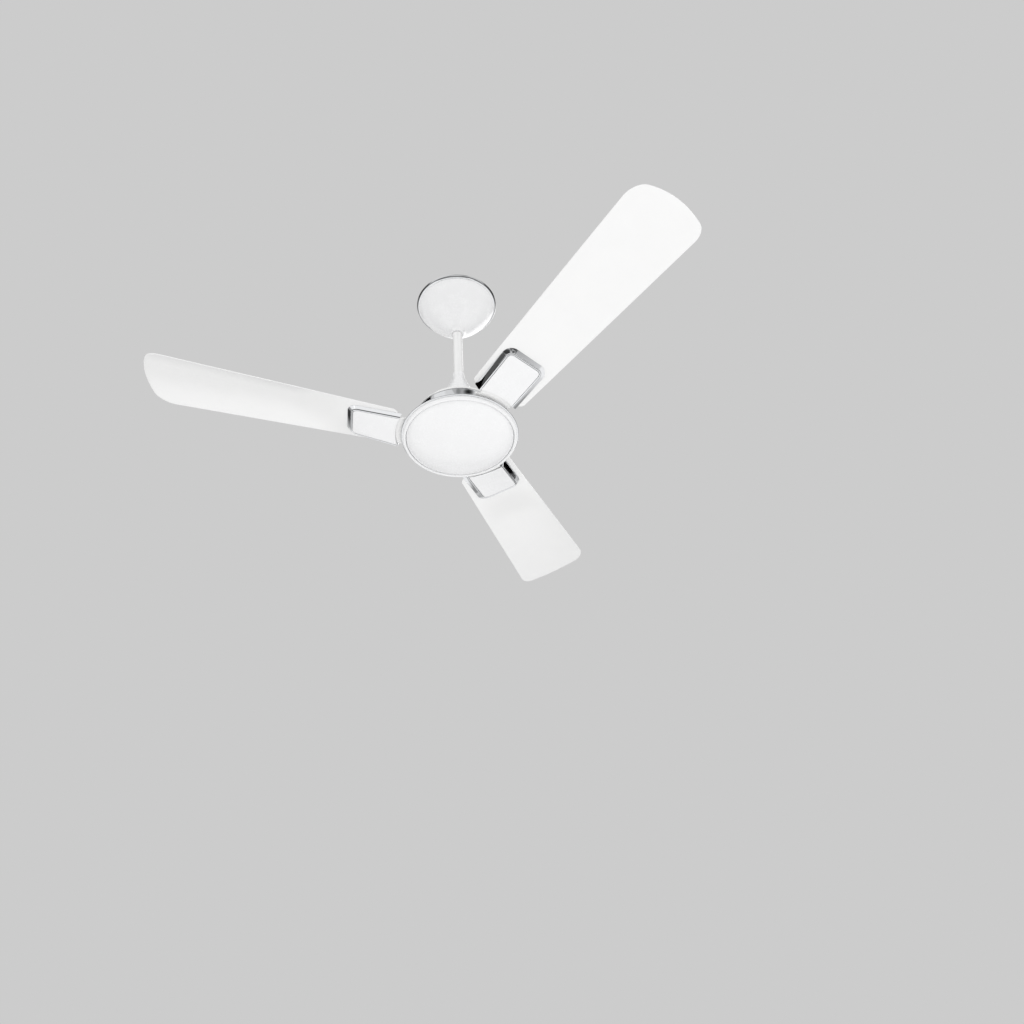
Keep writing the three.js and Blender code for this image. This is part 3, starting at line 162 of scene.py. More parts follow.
class ShaderTree:
    """A node tree that is built by calls."""

    def __init__(self, tree: bpy.types.NodeTree) -> None:
        """Empties a tree, ready to be built.

        Args:
            tree: the node tree of a material or of the world.
        """
        self.tree = tree
        tree.nodes.clear()

    def node(
        self,
        kind: str,
        settings: dict[str, object] | None = None,
        inputs: dict[str | int, object] | None = None,
    ) -> bpy.types.Node:
        """Adds a node.

        Args:
            kind: the node's type name.
            settings: the node's own settings, set first; "stops" are a ramp's.
            inputs: what its sockets hold: a number, a colour, a Value or an output socket.

        Returns:
            The new node.
        """
        made = self.tree.nodes.new(kind)
        for key, value in (settings or {}).items():
            if key == "stops":
                self._set_stops(made.color_ramp, value)
            else:
                setattr(made, key, value)
        for key, value in (inputs or {}).items():
            if isinstance(value, Value):
                self.tree.links.new(value.socket, made.inputs[key])
            elif isinstance(value, bpy.types.NodeSocket):
                self.tree.links.new(value, made.inputs[key])
            else:
                made.inputs[key].default_value = value
        return made

    @staticmethod
    def _set_stops(ramp: bpy.types.ColorRamp, stops: Sequence[Point]) -> None:
        """Sets a grey ramp's stops.

        Args:
            ramp: the ramp.
            stops: pairs of a place and a grey level.
        """
        while len(ramp.elements) < len(stops):
            ramp.elements.new(0.5)
        for element, (place, level) in zip(ramp.elements, stops):
            element.position = place
            element.color = (level, level, level, 1)

    def math(self, operation: str, first: Value | float, second: Value | float) -> Value:
        """Adds a Math node on two numbers or values.

        Args:
            operation: what the node does.
            first: its first number or value.
            second: its second.

        Returns:
            Its result.
        """
        inputs: dict[str | int, object] = {0: first, 1: second}
        made = self.node("ShaderNodeMath", {"operation": operation}, inputs)
        return Value(self, made.outputs[0])

    def noise(self, size: float, vector: bpy.types.NodeSocket, detail: float = 2.0) -> Value:
        """Noise with patches of a given size.

        Args:
            size: the size of a patch, in metres.
            vector: where the noise is read.
            detail: how many finer layers it has.

        Returns:
            The noise, about 0.5 on average.
        """
        inputs: dict[str | int, object] = {"Vector": vector, "Scale": 1 / size, "Detail": detail}
        made = self.node("ShaderNodeTexNoise", None, inputs)
        return Value(self, made.outputs[0])


# ---- Finishes ----------------------------------------------------------------------------------


@dataclass(frozen=True)
class Finish:
    """A surface: its colour and gloss, and how they and its relief vary over it."""

    name: str
    slot: Slot
    color: Color
    roughness: float
    metallic: float = 0.0
    coat: float = 0.0
    grain: Grain = Grain.PEEL
    grain_size: float = 0.8 * MM
    grain_depth: float = 0.004 * MM
    mottle: float = 0.015
    mottle_size: float = 40 * MM
    roughness_spread: float = 0.06
    # line_shade: how much the low parts of the relief are darkened; painted shade in the grooves
    # of wound and woven strands, random darker crystal patches on zinc
    line_shade: float = 0.0
    coat_roughness: float = 0.06
    line_stretch: float = 0.02
    strand_lean: float = 0.8
    wander: float = 3.6
    wander_size: float = 12 * MM
    patch_detail: float = 3
    speck_scale: float = 3

    def material(self) -> bpy.types.Material:
        """The finish as a material, made once.

        Returns:
            The material.
        """
        known = bpy.data.materials.get(self.name)
        if known:
            return known
        made = bpy.data.materials.new(self.name)
        made.use_nodes = True
        tree = ShaderTree(made.node_tree)
        place = tree.node("ShaderNodeTexCoord").outputs["Object"]
        relief = self._relief(tree, place)
        patches = tree.noise(self.mottle_size, place, self.patch_detail)
        specks = tree.noise(self.grain_size * self.speck_scale, place)
        shade = (patches - 0.5) * (2 * self.mottle) + (1 - self.mottle / 2)
        # Darkens the low parts of the relief: painted shade in the grooves between the wires of
        # the winding and the strands of the sleeve, darker lines between the sheets of the
        # laminations, and some darker crystal patches at random on zinc.
        if self.line_shade:
            shade = shade * (1 - self.line_shade * (1 - relief))
        color = tree.node(
            "ShaderNodeVectorMath",
            {"operation": "SCALE"},
            {0: self.color, "Scale": shade},
        )
        wear = (patches - 0.5) * self.roughness_spread + (specks - 0.5) * self.roughness_spread
        bump = tree.node(
            "ShaderNodeBump",
            None,
            {"Strength": 1.0, "Distance": self.grain_depth, "Height": relief},
        )
        shader = tree.node(
            "ShaderNodeBsdfPrincipled",
            None,
            {
                "Base Color": color.outputs[0],
                "Roughness": (wear + self.roughness).clamped(),
                "Metallic": self.metallic,
                "Coat Weight": self.coat,
                "Coat Roughness": self.coat_roughness,
                "Normal": bump.outputs[0],
            },
        )
        tree.node("ShaderNodeOutputMaterial", None, {"Surface": shader.outputs[0]})
        return made

    def _relief(self, tree: ShaderTree, place: bpy.types.NodeSocket) -> Value:
        """The height of the fine relief, from 0 to 1.

        Args:
            tree: the material's tree.
            place: the point's place on the piece.

        Returns:
            The height.
        """
        if self.grain is Grain.PEEL:
            return tree.noise(self.grain_size, place)
        if self.grain is Grain.CRYSTAL:
            inputs: dict[str | int, object] = {"Vector": place, "Scale": 1 / self.grain_size}
            cells = tree.node("ShaderNodeTexVoronoi", {"feature": "F1"}, inputs)
            grey = tree.node("ShaderNodeSeparateColor", None, {0: cells.outputs["Color"]})
            return Value(tree, grey.outputs[0])
        if self.grain in (Grain.DRAWN, Grain.TURNED):
            long = self.line_stretch
            squeeze = (1, 1, long) if self.grain is Grain.DRAWN else (long, long, 1)
            stretched = tree.node(
                "ShaderNodeVectorMath", {"operation": "MULTIPLY"}, {0: place, 1: squeeze}
            )
            return tree.noise(self.grain_size, stretched.outputs[0])
        parts = tree.node("ShaderNodeSeparateXYZ", None, {0: place})
        x, y, z = (Value(tree, socket) for socket in parts.outputs)
        turns = math.tau / self.grain_size
        if self.grain is Grain.LAMINATED:
            return (z * turns).sine() * 0.5 + 0.5
        radius = (x * x + y * y).power(0.5)
        wander = tree.noise(self.wander_size, place) * self.wander
        return ((radius + z * self.strand_lean) * turns + wander).sine() * 0.5 + 0.5


ENAMEL = Finish(
    "gloss_white_enamel",
    Slot.ENAMEL,
    (0.88, 0.88, 0.878),
    0.2,
    coat=0.5,
    grain_size=1.6 * MM,
    grain_depth=0.008 * MM,
)
MOULDING = Finish(
    "white_moulding",
    Slot.MOULDING,
    (0.87, 0.872, 0.878),
    0.27,
    coat=0.25,
    grain_size=0.7 * MM,
    grain_depth=0.004 * MM,
)
CHROME = Finish(
    "chrome_plate",
    Slot.CHROME,
    (0.86, 0.87, 0.885),
    0.06,
    metallic=1.0,
    grain_size=6 * MM,
    grain_depth=0.006 * MM,
    mottle=0.02,
    roughness_spread=0.03,
)
STEEL = Finish(
    "ground_steel",
    Slot.STEEL,
    (0.58, 0.59, 0.6),
    0.3,
    metallic=1.0,
    grain=Grain.TURNED,
    grain_size=0.35 * MM,
    grain_depth=0.01 * MM,
    mottle=0.05,
    mottle_size=9 * MM,
    roughness_spread=0.14,
)
PIN_STEEL = Finish(
    "drawn_steel_wire",
    Slot.STEEL,
    (0.5, 0.51, 0.52),
    0.36,
    metallic=1.0,
    grain=Grain.DRAWN,
    grain_size=0.2 * MM,
    grain_depth=0.01 * MM,
    mottle=0.06,
    mottle_size=3 * MM,
)
ZINC = Finish(
    "zinc_plate",
    Slot.ZINC,
    (0.64, 0.65, 0.645),
    0.33,
    metallic=1.0,
    grain=Grain.CRYSTAL,
    grain_size=2.2 * MM,
    grain_depth=0.006 * MM,
    mottle=0.07,
    mottle_size=8 * MM,
    roughness_spread=0.16,
    line_shade=0.1,
)
LAMINATIONS = Finish(
    "stacked_laminations",
    Slot.IRON,
    (0.2, 0.21, 0.22),
    0.5,
    metallic=0.8,
    grain=Grain.LAMINATED,
    grain_size=0.7 * MM,
    grain_depth=0.08 * MM,
    mottle=0.12,
    mottle_size=14 * MM,
    roughness_spread=0.2,
    line_shade=0.35,
)
COPPER = Finish(
    "varnished_copper_wire",
    Slot.COPPER,
    (0.58, 0.24, 0.1),
    0.32,
    metallic=0.85,
    coat=0.6,
    grain=Grain.WOUND,
    grain_size=0.9 * MM,
    grain_depth=0.2 * MM,
    mottle=0.14,
    mottle_size=12 * MM,
    roughness_spread=0.15,
    line_shade=0.55,
)
RUBBER = Finish(
    "moulded_rubber",
    Slot.RUBBER,
    (0.026, 0.026, 0.028),
    0.62,
    grain_size=0.5 * MM,
    grain_depth=0.03 * MM,
    mottle=0.25,
    mottle_size=6 * MM,
    roughness_spread=0.2,
)
SLEEVE = Finish(
    "woven_lead_sleeve",
    Slot.SLEEVE,
    (0.7, 0.7, 0.67),
    0.55,
    grain=Grain.WOUND,
    grain_size=0.7 * MM,
    grain_depth=0.06 * MM,
    mottle=0.08,
    mottle_size=10 * MM,
    line_shade=0.25,
)
TERMINAL = Finish(
    "ivory_moulding",
    Slot.TERMINAL,
    (0.72, 0.69, 0.61),
    0.42,
    grain_size=0.5 * MM,
    grain_depth=0.01 * MM,
    mottle=0.05,
    mottle_size=10 * MM,
)
CAPACITOR = Finish(
    "dark_capacitor_case",
    Slot.CAPACITOR,
    (0.05, 0.055, 0.065),
    0.38,
    grain_size=0.6 * MM,
    grain_depth=0.015 * MM,
    mottle=0.15,
    mottle_size=10 * MM,
    roughness_spread=0.15,
)


# ---- Work at the bench -------------------------------------------------------------------------


def select_only(piece: Object) -> None:
    """Leaves one object selected and active.

    Args:
        piece: the object.
    """
    bpy.ops.object.select_all(action="DESELECT")
    piece.select_set(True)
    bpy.context.view_layer.objects.active = piece


def started(name: str, add: Callable[[], object]) -> Object:
    """Adds a primitive with nothing else selected.

    Args:
        name: the new piece's name.
        add: the call that adds the primitive.

    Returns:
        The new object, its place moved into its mesh.
    """
    bpy.ops.object.select_all(action="DESELECT")
    add()
    piece = bpy.context.object
    piece.name = name
    piece.data.name = name
    bpy.ops.object.transform_apply(location=True, rotation=True, scale=True)
    return piece


def modify(piece: Object, kind: str, **settings: object) -> None:
    """Adds a modifier, sets it and applies it.

    Args:
        piece: the piece.
        kind: the modifier's type.
        **settings: its settings.
    """
    select_only(piece)
    bpy.ops.object.modifier_add(type=kind)
    modifier = piece.modifiers[-1]
    for key, value in settings.items():
        setattr(modifier, key, value)
    bpy.ops.object.modifier_apply(modifier=modifier.name)


def softened(piece: Object, width: float, segments: int = 3, angle: float = 40) -> Object:
    """Rounds a piece's sharp edges and shades it smooth.

    Args:
        piece: the piece.
        width: the width of the rounding.
        segments: faces across it.
        angle: the least angle of an edge that is rounded, in degrees.

    Returns:
        The piece.
    """
    modify(
        piece,
        "BEVEL",
        width=width,
        segments=segments,
        limit_method="ANGLE",
        angle_limit=math.radians(angle),
        harden_normals=False,
    )
    bpy.ops.object.shade_smooth_by_angle(angle=SMOOTH_ANGLE)
    return piece


def box_piece(name: str, low: Vector, high: Vector) -> Object:
    """A box between two corners, as a start.

    Args:
        name: the piece's name.
        low: its lowest corner.
        high: its highest corner.

    Returns:
        The box.
    """
    size = high - low

    def add() -> None:
        """Adds the cube."""
        bpy.ops.mesh.primitive_cube_add(size=1, location=(low + high) / 2, scale=size)

    return started(name, add)


def rod_piece(name: str, radius: float, start: Vector, end: Vector, sides: int) -> Object:
    """A round bar between two points, as a start.

    Args:
        name: the piece's name.
        radius: its radius.
        start: the middle of one end.
        end: the middle of the other.
        sides: its sides.

    Returns:
        The bar.
    """
    along = end - start
    turn = along.to_track_quat("Z", "Y").to_euler()

    def add() -> None:
        """Adds the cylinder."""
        bpy.ops.mesh.primitive_cylinder_add(
            vertices=sides,
            radius=radius,
            depth=along.length,
            location=(start + end) / 2,
            rotation=turn,
        )

    return started(name, add)


def cross_hole(radius: float, reach: float, middle: Vector, sides: int = SIDES_HOLE) -> Object:
    """The shape that bores a round hole along X.

    Args:
        radius: the hole's radius.
        reach: how far it goes to each side.
        middle: a point on its axis.
        sides: its sides.

    Returns:
        The tool.
    """
    side = Vector((reach, 0, 0))
    return rod_piece("hole", radius, middle - side, middle + side, sides)


def carve(piece: Object, tools: Iterable[Object], operation: str = "DIFFERENCE") -> Object:
    """Cuts tools out of a piece, or joins them to it, and removes them.

    Args:
        piece: the piece.
        tools: the shapes to cut or join.
        operation: the boolean's name.

    Returns:
        The piece.
    """
    for tool in tools:
        modify(piece, "BOOLEAN", operation=operation, object=tool, solver="EXACT")
        bpy.data.objects.remove(tool)
    return piece


def joined(name: str, pieces: Sequence[Object]) -> Object:
    """Several shapes as one object.

    Args:
        name: the new object's name.
        pieces: the shapes.

    Returns:
        The one object.
    """
    select_only(pieces[0])
    for piece in pieces:
        piece.select_set(True)
    bpy.ops.object.join()
    bpy.context.object.name = name
    return bpy.context.object


def twin(piece: Object, name: str, place: Matrix) -> Object:
    """A copy of a piece with its own mesh, moved to its place.

    Args:
        piece: the piece that is copied.
        name: the copy's name.
        place: where it goes, from the piece's own place.

    Returns:
        The copy.
    """
    made = bpy.data.objects.new(name, piece.data.copy())
    made.data.name = name
    made.data.transform(place)
    bpy.context.scene.collection.objects.link(made)
    return made


def draw_line(name: str, line: Sequence[Place]) -> Object:
    """Starts a piece as a line of vertices, each drawn out of the one before.

    Args:
        name: the piece's name.
        line: its points.

    Returns:
        The piece, still being edited, with its whole line selected.
    """
    bpy.context.tool_settings.mesh_select_mode = (True, False, False)
    piece = started(name, lambda: bpy.ops.mesh.primitive_plane_add(size=MM))
    bpy.ops.object.mode_set(mode="EDIT")
    bpy.ops.mesh.select_all(action="SELECT")
    bpy.ops.mesh.merge(type="CENTER")
    bpy.ops.transform.translate(value=line[0])
    for point, following in zip(line, line[1:]):
        step = tuple(there - here for here, there in zip(point, following))
        bpy.ops.mesh.extrude_vertices_move(TRANSFORM_OT_translate={"value": step})
    bpy.ops.mesh.select_all(action="SELECT")
    return piece


def close_up() -> None:
    """Welds the mesh that is being edited, turns its faces outwards and ends the editing."""
    bpy.ops.mesh.select_all(action="SELECT")
    bpy.ops.mesh.remove_doubles(threshold=WELD)
    bpy.ops.mesh.normals_make_consistent(inside=False)
    bpy.ops.object.mode_set(mode="OBJECT")


def lathe(name: str, profile: Sequence[Point], sides: int) -> Object:
    """Turns a closed profile of (radius, height) points about Z.

    Args:
        name: the piece's name.
        profile: the points in order; the last joins the first.
        sides: the sides of the turned piece.

    Returns:
        The turned piece, its faces outwards.
    """
    piece = draw_line(name, [(radius, 0, height) for radius, height in (*profile, profile[0])])
    bpy.ops.mesh.spin(steps=sides, angle=math.tau, center=(0, 0, 0), axis=(0, 0, 1))
    close_up()
    return piece


def flowing(points: Sequence[Point], steps: int = 5) -> list[Point]:
    """A smooth line through a few points.

    Args:
        points: the points it passes.
        steps: the points made for each stretch.

    Returns:
        The line, from the first point to the last.
    """
    line: list[Point] = []
    for i in range(len(points) - 1):
        before = Vector(points[max(i - 1, 0)])
        start, end = Vector(points[i]), Vector(points[i + 1])
        after = Vector(points[min(i + 2, len(points) - 1)])
        for step in range(steps):
            t = step / steps
            near = 2 * start + (end - before) * t
            far = (2 * before - 5 * start + 4 * end - after) * t**2
            last = (3 * start - before - 3 * end + after) * t**3
            made = (near + far + last) / 2
            line.append((made.x, made.y))
    line.append(tuple(points[-1]))
    return line


def inset_line(line: Sequence[Point], wall: float, least: float) -> list[Point]:
    """A line moved inwards by a wall, and kept off the axis.

    Args:
        line: the outer line of a shell, (radius, height).
        wall: the wall's thickness.
        least: the least radius.

    Returns:
        The inner line, in the same order.
    """
    made: list[Point] = []
    for i, (radius, height) in enumerate(line):
        before = Vector(line[max(i - 1, 0)])
        after = Vector(line[min(i + 1, len(line) - 1)])
        along = (after - before).normalized()
        made.append((max(radius - wall * abs(along.y), least), height + wall * abs(along.x)))
    return made


def mix(start: float, end: float, share: float) -> float:
    """A value part of the way from one to another."""
    return start + (end - start) * share


def smooth(share: float) -> float:
    """A share that eases in and out, kept between 0 and 1."""
    kept = min(max(share, 0.0), 1.0)
    return kept * kept * (3 - 2 * kept)


def to_edges(share: float) -> float:
    """A share that crowds evenly spread points towards 0 and 1."""
    return (1 - math.cos(math.pi * share)) / 2


@dataclass(frozen=True)
class Extent:
    """The radius and the heights of a round CAD node."""

    radius: float
    low: float
    high: float

    @classmethod
    def of(cls, node: str) -> "Extent":
        """Measures a node."""
        low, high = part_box(node)
        return cls(high.y, low.z, high.z)

    @property
    def height(self) -> float:
        """From the lowest to the highest point."""
        return self.high - self.low


ROD = Extent.of("down_rod")
GAP = 0.3 * MM
RING_FOOT = 28.5 * MM
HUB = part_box("rotor_ring")[0].z - RING_FOOT
HUB_PLACE = Matrix.Translation((0, 0, HUB))
Z_TO_X = Matrix.Rotation(math.pi / 2, 4, "Y")


@dataclass
class SubAssembly:
    """A group of pieces that are made together."""

    body: Body = Body.ROTOR
    names: list[str] = field(default_factory=list, init=False)

    def add(self, piece: Object, finish: Finish, *nodes: str) -> Object:
        """Dresses a finished piece and puts it on its body.

        Args:
            piece: the finished piece.
            finish: its finish.
            *nodes: the CAD nodes that it stands for.

        Returns:
            The piece.
        """
        piece.data.materials.clear()
        piece.data.materials.append(finish.material())
        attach(piece, self.body.value)
        if nodes:
            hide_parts(*nodes)
        self.names.append(piece.name)
        return piece

    def dress(self, finish: Finish, *nodes: str) -> None:
        """Gives CAD nodes a finish on their own slots.

        Args:
            finish: the finish.
            *nodes: the nodes.
        """
        for node in nodes:
            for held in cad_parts[node].material_slots:
                held.material = finish.material()
            self.names.append(node)

    def build(self) -> None:
        """Makes the pieces."""
        raise NotImplementedError


# ---- Fasteners ---------------------------------------------------------------------------------


@dataclass(frozen=True)
class PanScrew:
    """A screw with a domed head and a cross recess, standing on its head's seat at the origin."""

    radius: float
    head_radius: float
    head_height: float
    length: float
    recess_width: float = 1.1 * MM
    recess_reach: float = 0.55
    recess_floor: float = 0.35
    threads: int = 5
    thread_share: float = 0.12
    threaded_share: float = 0.7
    tail_share: float = 0.2
    neck_shares: tuple[float, float] = (0.1, 0.08)
    dome_shares: tuple[Point, ...] = ((1, 0.25), (0.9, 0.66), (0.6, 0.92), (0, 1))

    def model(self, name: str) -> Object:
        """Makes the screw, head up.

        Args:
            name: the piece's name.

        Returns:
            The screw, its axis on Z.
        """
        thread = self.thread_share * self.radius
        pitch = self.threaded_share * self.length / self.threads
        thread_end, neck = (-share * self.length for share in self.neck_shares)
        crests: list[Point] = []
        for i in range(self.threads):
            foot = -self.length + self.tail_share * self.radius + i * pitch
            crests.append((self.radius - thread, foot))
            crests.append((self.radius, foot + pitch / 2))
        corners = [(out * self.head_radius, up * self.head_height) for out, up in self.dome_shares]
        dome = flowing(corners, steps=3)
        profile = [
            (0, -self.length),
            (self.radius * 0.7, -self.length),
            *crests,
            (self.radius - thread, thread_end),
            (self.radius, neck),
            (self.radius, 0),
            (self.head_radius, 0),
            *dome,
        ]
        piece = lathe(name, profile, SIDES_SMALL)
        reach = self.recess_reach * self.head_radius
        floor = self.recess_floor * self.head_height
        half = self.recess_width / 2
        top = self.head_height * 1.2
        first = box_piece("recess", Vector((-reach, -half, floor)), Vector((reach, half, top)))
        second = box_piece("recess", Vector((-half, -reach, floor)), Vector((half, reach, top)))
        carve(piece, [first, second])
        return softened(piece, 0.1 * MM, segments=2)


@dataclass
class BoltSet:
    """A hexagon bolt along X with its nut and its split pin, read from their CAD nodes."""

    name: str
    radius: float
    owner: SubAssembly
    head_share: float = 1.1
    pin_radius: float = 0.9 * MM
    thread_pitch: float = 1.1 * MM
    thread_share: float = 0.09
    chamfer_share: float = 0.1
    crown_shares: tuple[float, float] = (0.9, 1.02)
    tail_share: float = 0.8
    tail_length: float = 0.5 * MM
    nut_play: float = 0.1 * MM
    leg_top: float = 1.5
    leg_foot: float = 1.2
    leg_spread: float = 0.9
    eye_sides: int = 28
    wire_sides: int = 12

    def build(self) -> None:
        """Makes the bolt, the nut and the split pin."""
        bolt_low, bolt_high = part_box(f"{self.name}_bolt")
        nut_low, nut_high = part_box(f"{self.name}_nut")
        middle = (nut_low.z + nut_high.z) / 2
        head_radius = max(nut_high.z - nut_low.z, nut_high.y - nut_low.y) / 2
        seat = bolt_high.x - self.head_share * self.radius
        head = self._hexagon("head", head_radius, seat, bolt_high.x, middle)
        shank = self._shank(bolt_low.x, seat + MM, nut_high.x, middle)
        bolt = carve(head, [shank], "UNION")
        bolt.name = f"fitted_{self.name}_bolt"
        softened(bolt, 0.25 * MM, segments=2, angle=50)
        self.owner.add(bolt, ZINC, f"{self.name}_bolt")
        nut = self._hexagon(f"fitted_{self.name}_nut", head_radius, nut_low.x, nut_high.x, middle)
        bore = rod_piece(
            "bore",
            self.radius + self.nut_play,
            Vector((nut_low.x - MM, 0, middle)),
            Vector((nut_high.x + MM, 0, middle)),
            SIDES_SMALL,
        )
        carve(nut, [bore])
        self.owner.add(softened(nut, 0.3 * MM), ZINC, f"{self.name}_nut")
        self._split_pin()

    def _hexagon(self, name: str, radius: float, low: float, high: float, z: float) -> Object:
        """A hexagon bar along X, its corners cut back by a shallow cone.

        Args:
            name: the piece's name.
            radius: from its middle to a corner.
            low: its lower end on X.
            high: its upper end on X.
            z: its height.

        Returns:
            The hexagon bar.
        """
        bar = rod_piece(name, radius, Vector((low, 0, z)), Vector((high, 0, z)), 6)
        inner, outer = (radius * share for share in self.crown_shares)
        cut = self.chamfer_share * radius
        crown = [(0, low), (inner, low), (outer, low + cut)]
        crown += [(outer, high - cut), (inner, high), (0, high)]
        tool = lathe("crown", crown, SIDES_SMALL)
        tool.data.transform(Matrix.Translation((0, 0, z)) @ Z_TO_X)
        return carve(bar, [tool], "INTERSECT")

    def _shank(self, low: float, high: float, thread_end: float, z: float) -> Object:
        """The bolt's shank, threaded from its tail to the nut.

        Args:
            low: the tail on X.
            high: the head's end on X.
            thread_end: where the thread stops on X.
            z: its height.

        Returns:
            The shank.
        """
        depth = self.thread_share * self.radius
        profile: list[Point] = [(0, low), (self.radius * self.tail_share, low)]
        place = low + self.tail_length
        while place < thread_end + 2 * self.thread_pitch:
            profile.append((self.radius - depth, place))
            profile.append((self.radius, place + self.thread_pitch / 2))
            place += self.thread_pitch
        profile += [(self.radius, high), (0, high)]
        shank = lathe("shank", profile, SIDES_SMALL)
        shank.data.transform(Matrix.Translation((0, 0, z)) @ Z_TO_X)
        return shank

    def _split_pin(self) -> None:
        """A split pin: an eye of wire above the bolt, two legs through it, their ends spread."""
        low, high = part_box(f"{self.name}_split_pin")
        x = (low.x + high.x) / 2
        eye_height = high.z - 2 * self.pin_radius
        wire = 0.5 * self.pin_radius

        def add() -> None:
            """Adds the eye."""
            bpy.ops.mesh.primitive_torus_add(
                major_radius=2 * self.pin_radius - wire,
                minor_radius=wire,
                major_segments=self.eye_sides,
                minor_segments=self.wire_sides,
                location=(x, 0, eye_height),
                rotation=(0, math.pi / 2, 0),
            )

        parts = [started("eye", add)]
        for side in (-1, 1):
            near = side * wire
            top = Vector((x, near, eye_height - self.leg_top * self.pin_radius))
            foot = Vector((x, near, low.z + self.leg_foot * self.pin_radius))
            tip = Vector((x, near + side * self.leg_spread * self.pin_radius, low.z + wire))
            parts.append(rod_piece("leg", wire, top, foot, self.wire_sides))
            parts.append(rod_piece("tip", wire, foot, tip, self.wire_sides))
        pin = joined(f"fitted_{self.name}_split_pin", parts)
        bpy.ops.object.shade_smooth_by_angle(angle=SMOOTH_ANGLE)
        self.owner.add(pin, PIN_STEEL, f"{self.name}_split_pin")


# ---- Hanger ------------------------------------------------------------------------------------


@dataclass
class Hanger(SubAssembly):
    """The shackle with its rubber reel, its bolts, the terminal block and the capacitor."""

    bolt_radius: float = 4 * MM
    groove_radius: float = 9 * MM
    flange_radius: float = 14 * MM
    groove_half: float = 6.5 * MM
    flange_edge: float = 9 * MM
    groove_shares: tuple[Point, ...] = ((0.35, -1.12), (0, -0.72), (0, 0), (0, 0.72), (0.35, 1.12))
    hole_reach: float = 5 * MM
    plate_sides: int = 48
    plate_round: float = 0.499
    screw_pitch: float = 6.4 * MM
    well_radius: float = 2.3 * MM
    well_depth: float = 3.4 * MM
    well_offset: float = 4.6 * MM
    entry_radius: float = 1.7 * MM
    entry_depth: float = 4 * MM
    slot_depth: float = 2.2 * MM
    slot_half: float = 0.35 * MM
    clamp_screw: PanScrew = PanScrew(1.1 * MM, 1.9 * MM, 1.2 * MM, 1.4 * MM, 0.5 * MM)
    clamp_depth: float = 1.9 * MM
    case_rim: float = 1.6 * MM
    sink_depth: float = 1.5 * MM
    post_radius: float = 2.2 * MM
    post_offset: float = 7 * MM
    post_depth: float = 2.2 * MM
    post_height: float = 2 * MM
    body: Body = Body.SHACKLE

    def build(self) -> None:
        """Makes the pieces."""
        self._plate("shackle_plate_right")
        self._plate("shackle_plate_left")
        self._reel()
        BoltSet("reel", self.bolt_radius, self).build()
        BoltSet("rod", self.bolt_radius, self).build()
        self._terminal_block()
        self._capacitor()

    def _plate(self, node: str) -> None:
        """A flat plate with round ends and two bolt holes.

        Args:
            node: the plate's CAD node.
        """
        low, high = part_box(node)
        width = high.y - low.y
        plate = box_piece(f"rounded_{node}", low, high)
        select_only(plate)
        for edge in plate.data.edges:
            start, end = (plate.data.vertices[i].co for i in edge.vertices)
            edge.select = abs(start.x - end.x) > MM
        bpy.context.tool_settings.mesh_select_mode = (False, True, False)
        bpy.ops.object.mode_set(mode="EDIT")
        bpy.ops.mesh.bevel(offset=self.plate_round * width, segments=20, affect="EDGES")
        bpy.ops.object.mode_set(mode="OBJECT")
        holes = []
        for place in (high.z - width / 2, low.z + width / 2):
            middle = Vector(((low.x + high.x) / 2, 0, place))
            radius = self.bolt_radius + GAP
            holes.append(cross_hole(radius, self.hole_reach, middle, self.plate_sides))
        carve(plate, holes)
        self.add(softened(plate, 0.35 * MM, angle=50), ZINC, node)

    def _reel(self) -> None:
        """The grooved rubber reel that rests on the ceiling hook."""
        low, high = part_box("hanger_reel")
        half = high.x
        bore = self.bolt_radius + GAP
        waist = [
            (mix(self.groove_radius, self.flange_radius, out), along * self.groove_half)
            for out, along in self.groove_shares
        ]
        edge = self.flange_edge
        flange = self.flange_radius
        groove = flowing([(flange, -edge), *waist, (flange, edge)], steps=4)
        profile = [(bore, -half), (self.flange_radius, -half), *groove]
        profile += [(self.flange_radius, half), (bore, half)]
        reel = lathe("grooved_reel", profile, SIDES_MEDIUM)
        reel.data.transform(Matrix.Translation((0, 0, (low.z + high.z) / 2)) @ Z_TO_X)
        self.add(softened(reel, 0.9 * MM, segments=4), RUBBER, "hanger_reel")

    def _terminal_block(self) -> None:
        """The terminal block: three wells with a clamp screw in each, and its wire entries."""
        low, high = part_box("terminal_block")
        block = box_piece("moulded_terminal_block", low, high)
        middle = (low + high) / 2
        tools = []
        screws = []
        for i in (-1, 0, 1):
            y = middle.y + i * self.screw_pitch
            for z in (middle.z + self.well_offset, middle.z - self.well_offset):
                mouth = Vector((high.x + MM, y, z))
                floor = Vector((high.x - self.well_depth, y, z))
                tools.append(rod_piece("well", self.well_radius, floor, mouth, SIDES_SMALL))
                screws.append((y, z))
            for z, side in ((high.z, 1), (low.z, -1)):
                mouth = Vector((middle.x, y, z + side * MM))
                floor = Vector((middle.x, y, z - side * self.entry_depth))
                tools.append(rod_piece("entry", self.entry_radius, floor, mouth, SIDES_SMALL))
        for i in (-0.5, 0.5):
            y = middle.y + i * self.screw_pitch
            slot_low = Vector((high.x - self.slot_depth, y - self.slot_half, low.z - MM))
            slot_high = Vector((high.x + MM, y + self.slot_half, high.z + MM))
            tools.append(box_piece("slot", slot_low, slot_high))
        carve(block, tools)
        self.add(softened(block, 0.4 * MM, angle=50), TERMINAL, "terminal_block")
        model = self.clamp_screw.model("clamp_screw")
        for i, (y, z) in enumerate(screws):
            place = Matrix.Translation((high.x - self.clamp_depth, y, z)) @ Z_TO_X
            self.add(twin(model, f"terminal_clamp_screw_{i + 1}", place), ZINC)
        bpy.data.objects.remove(model)

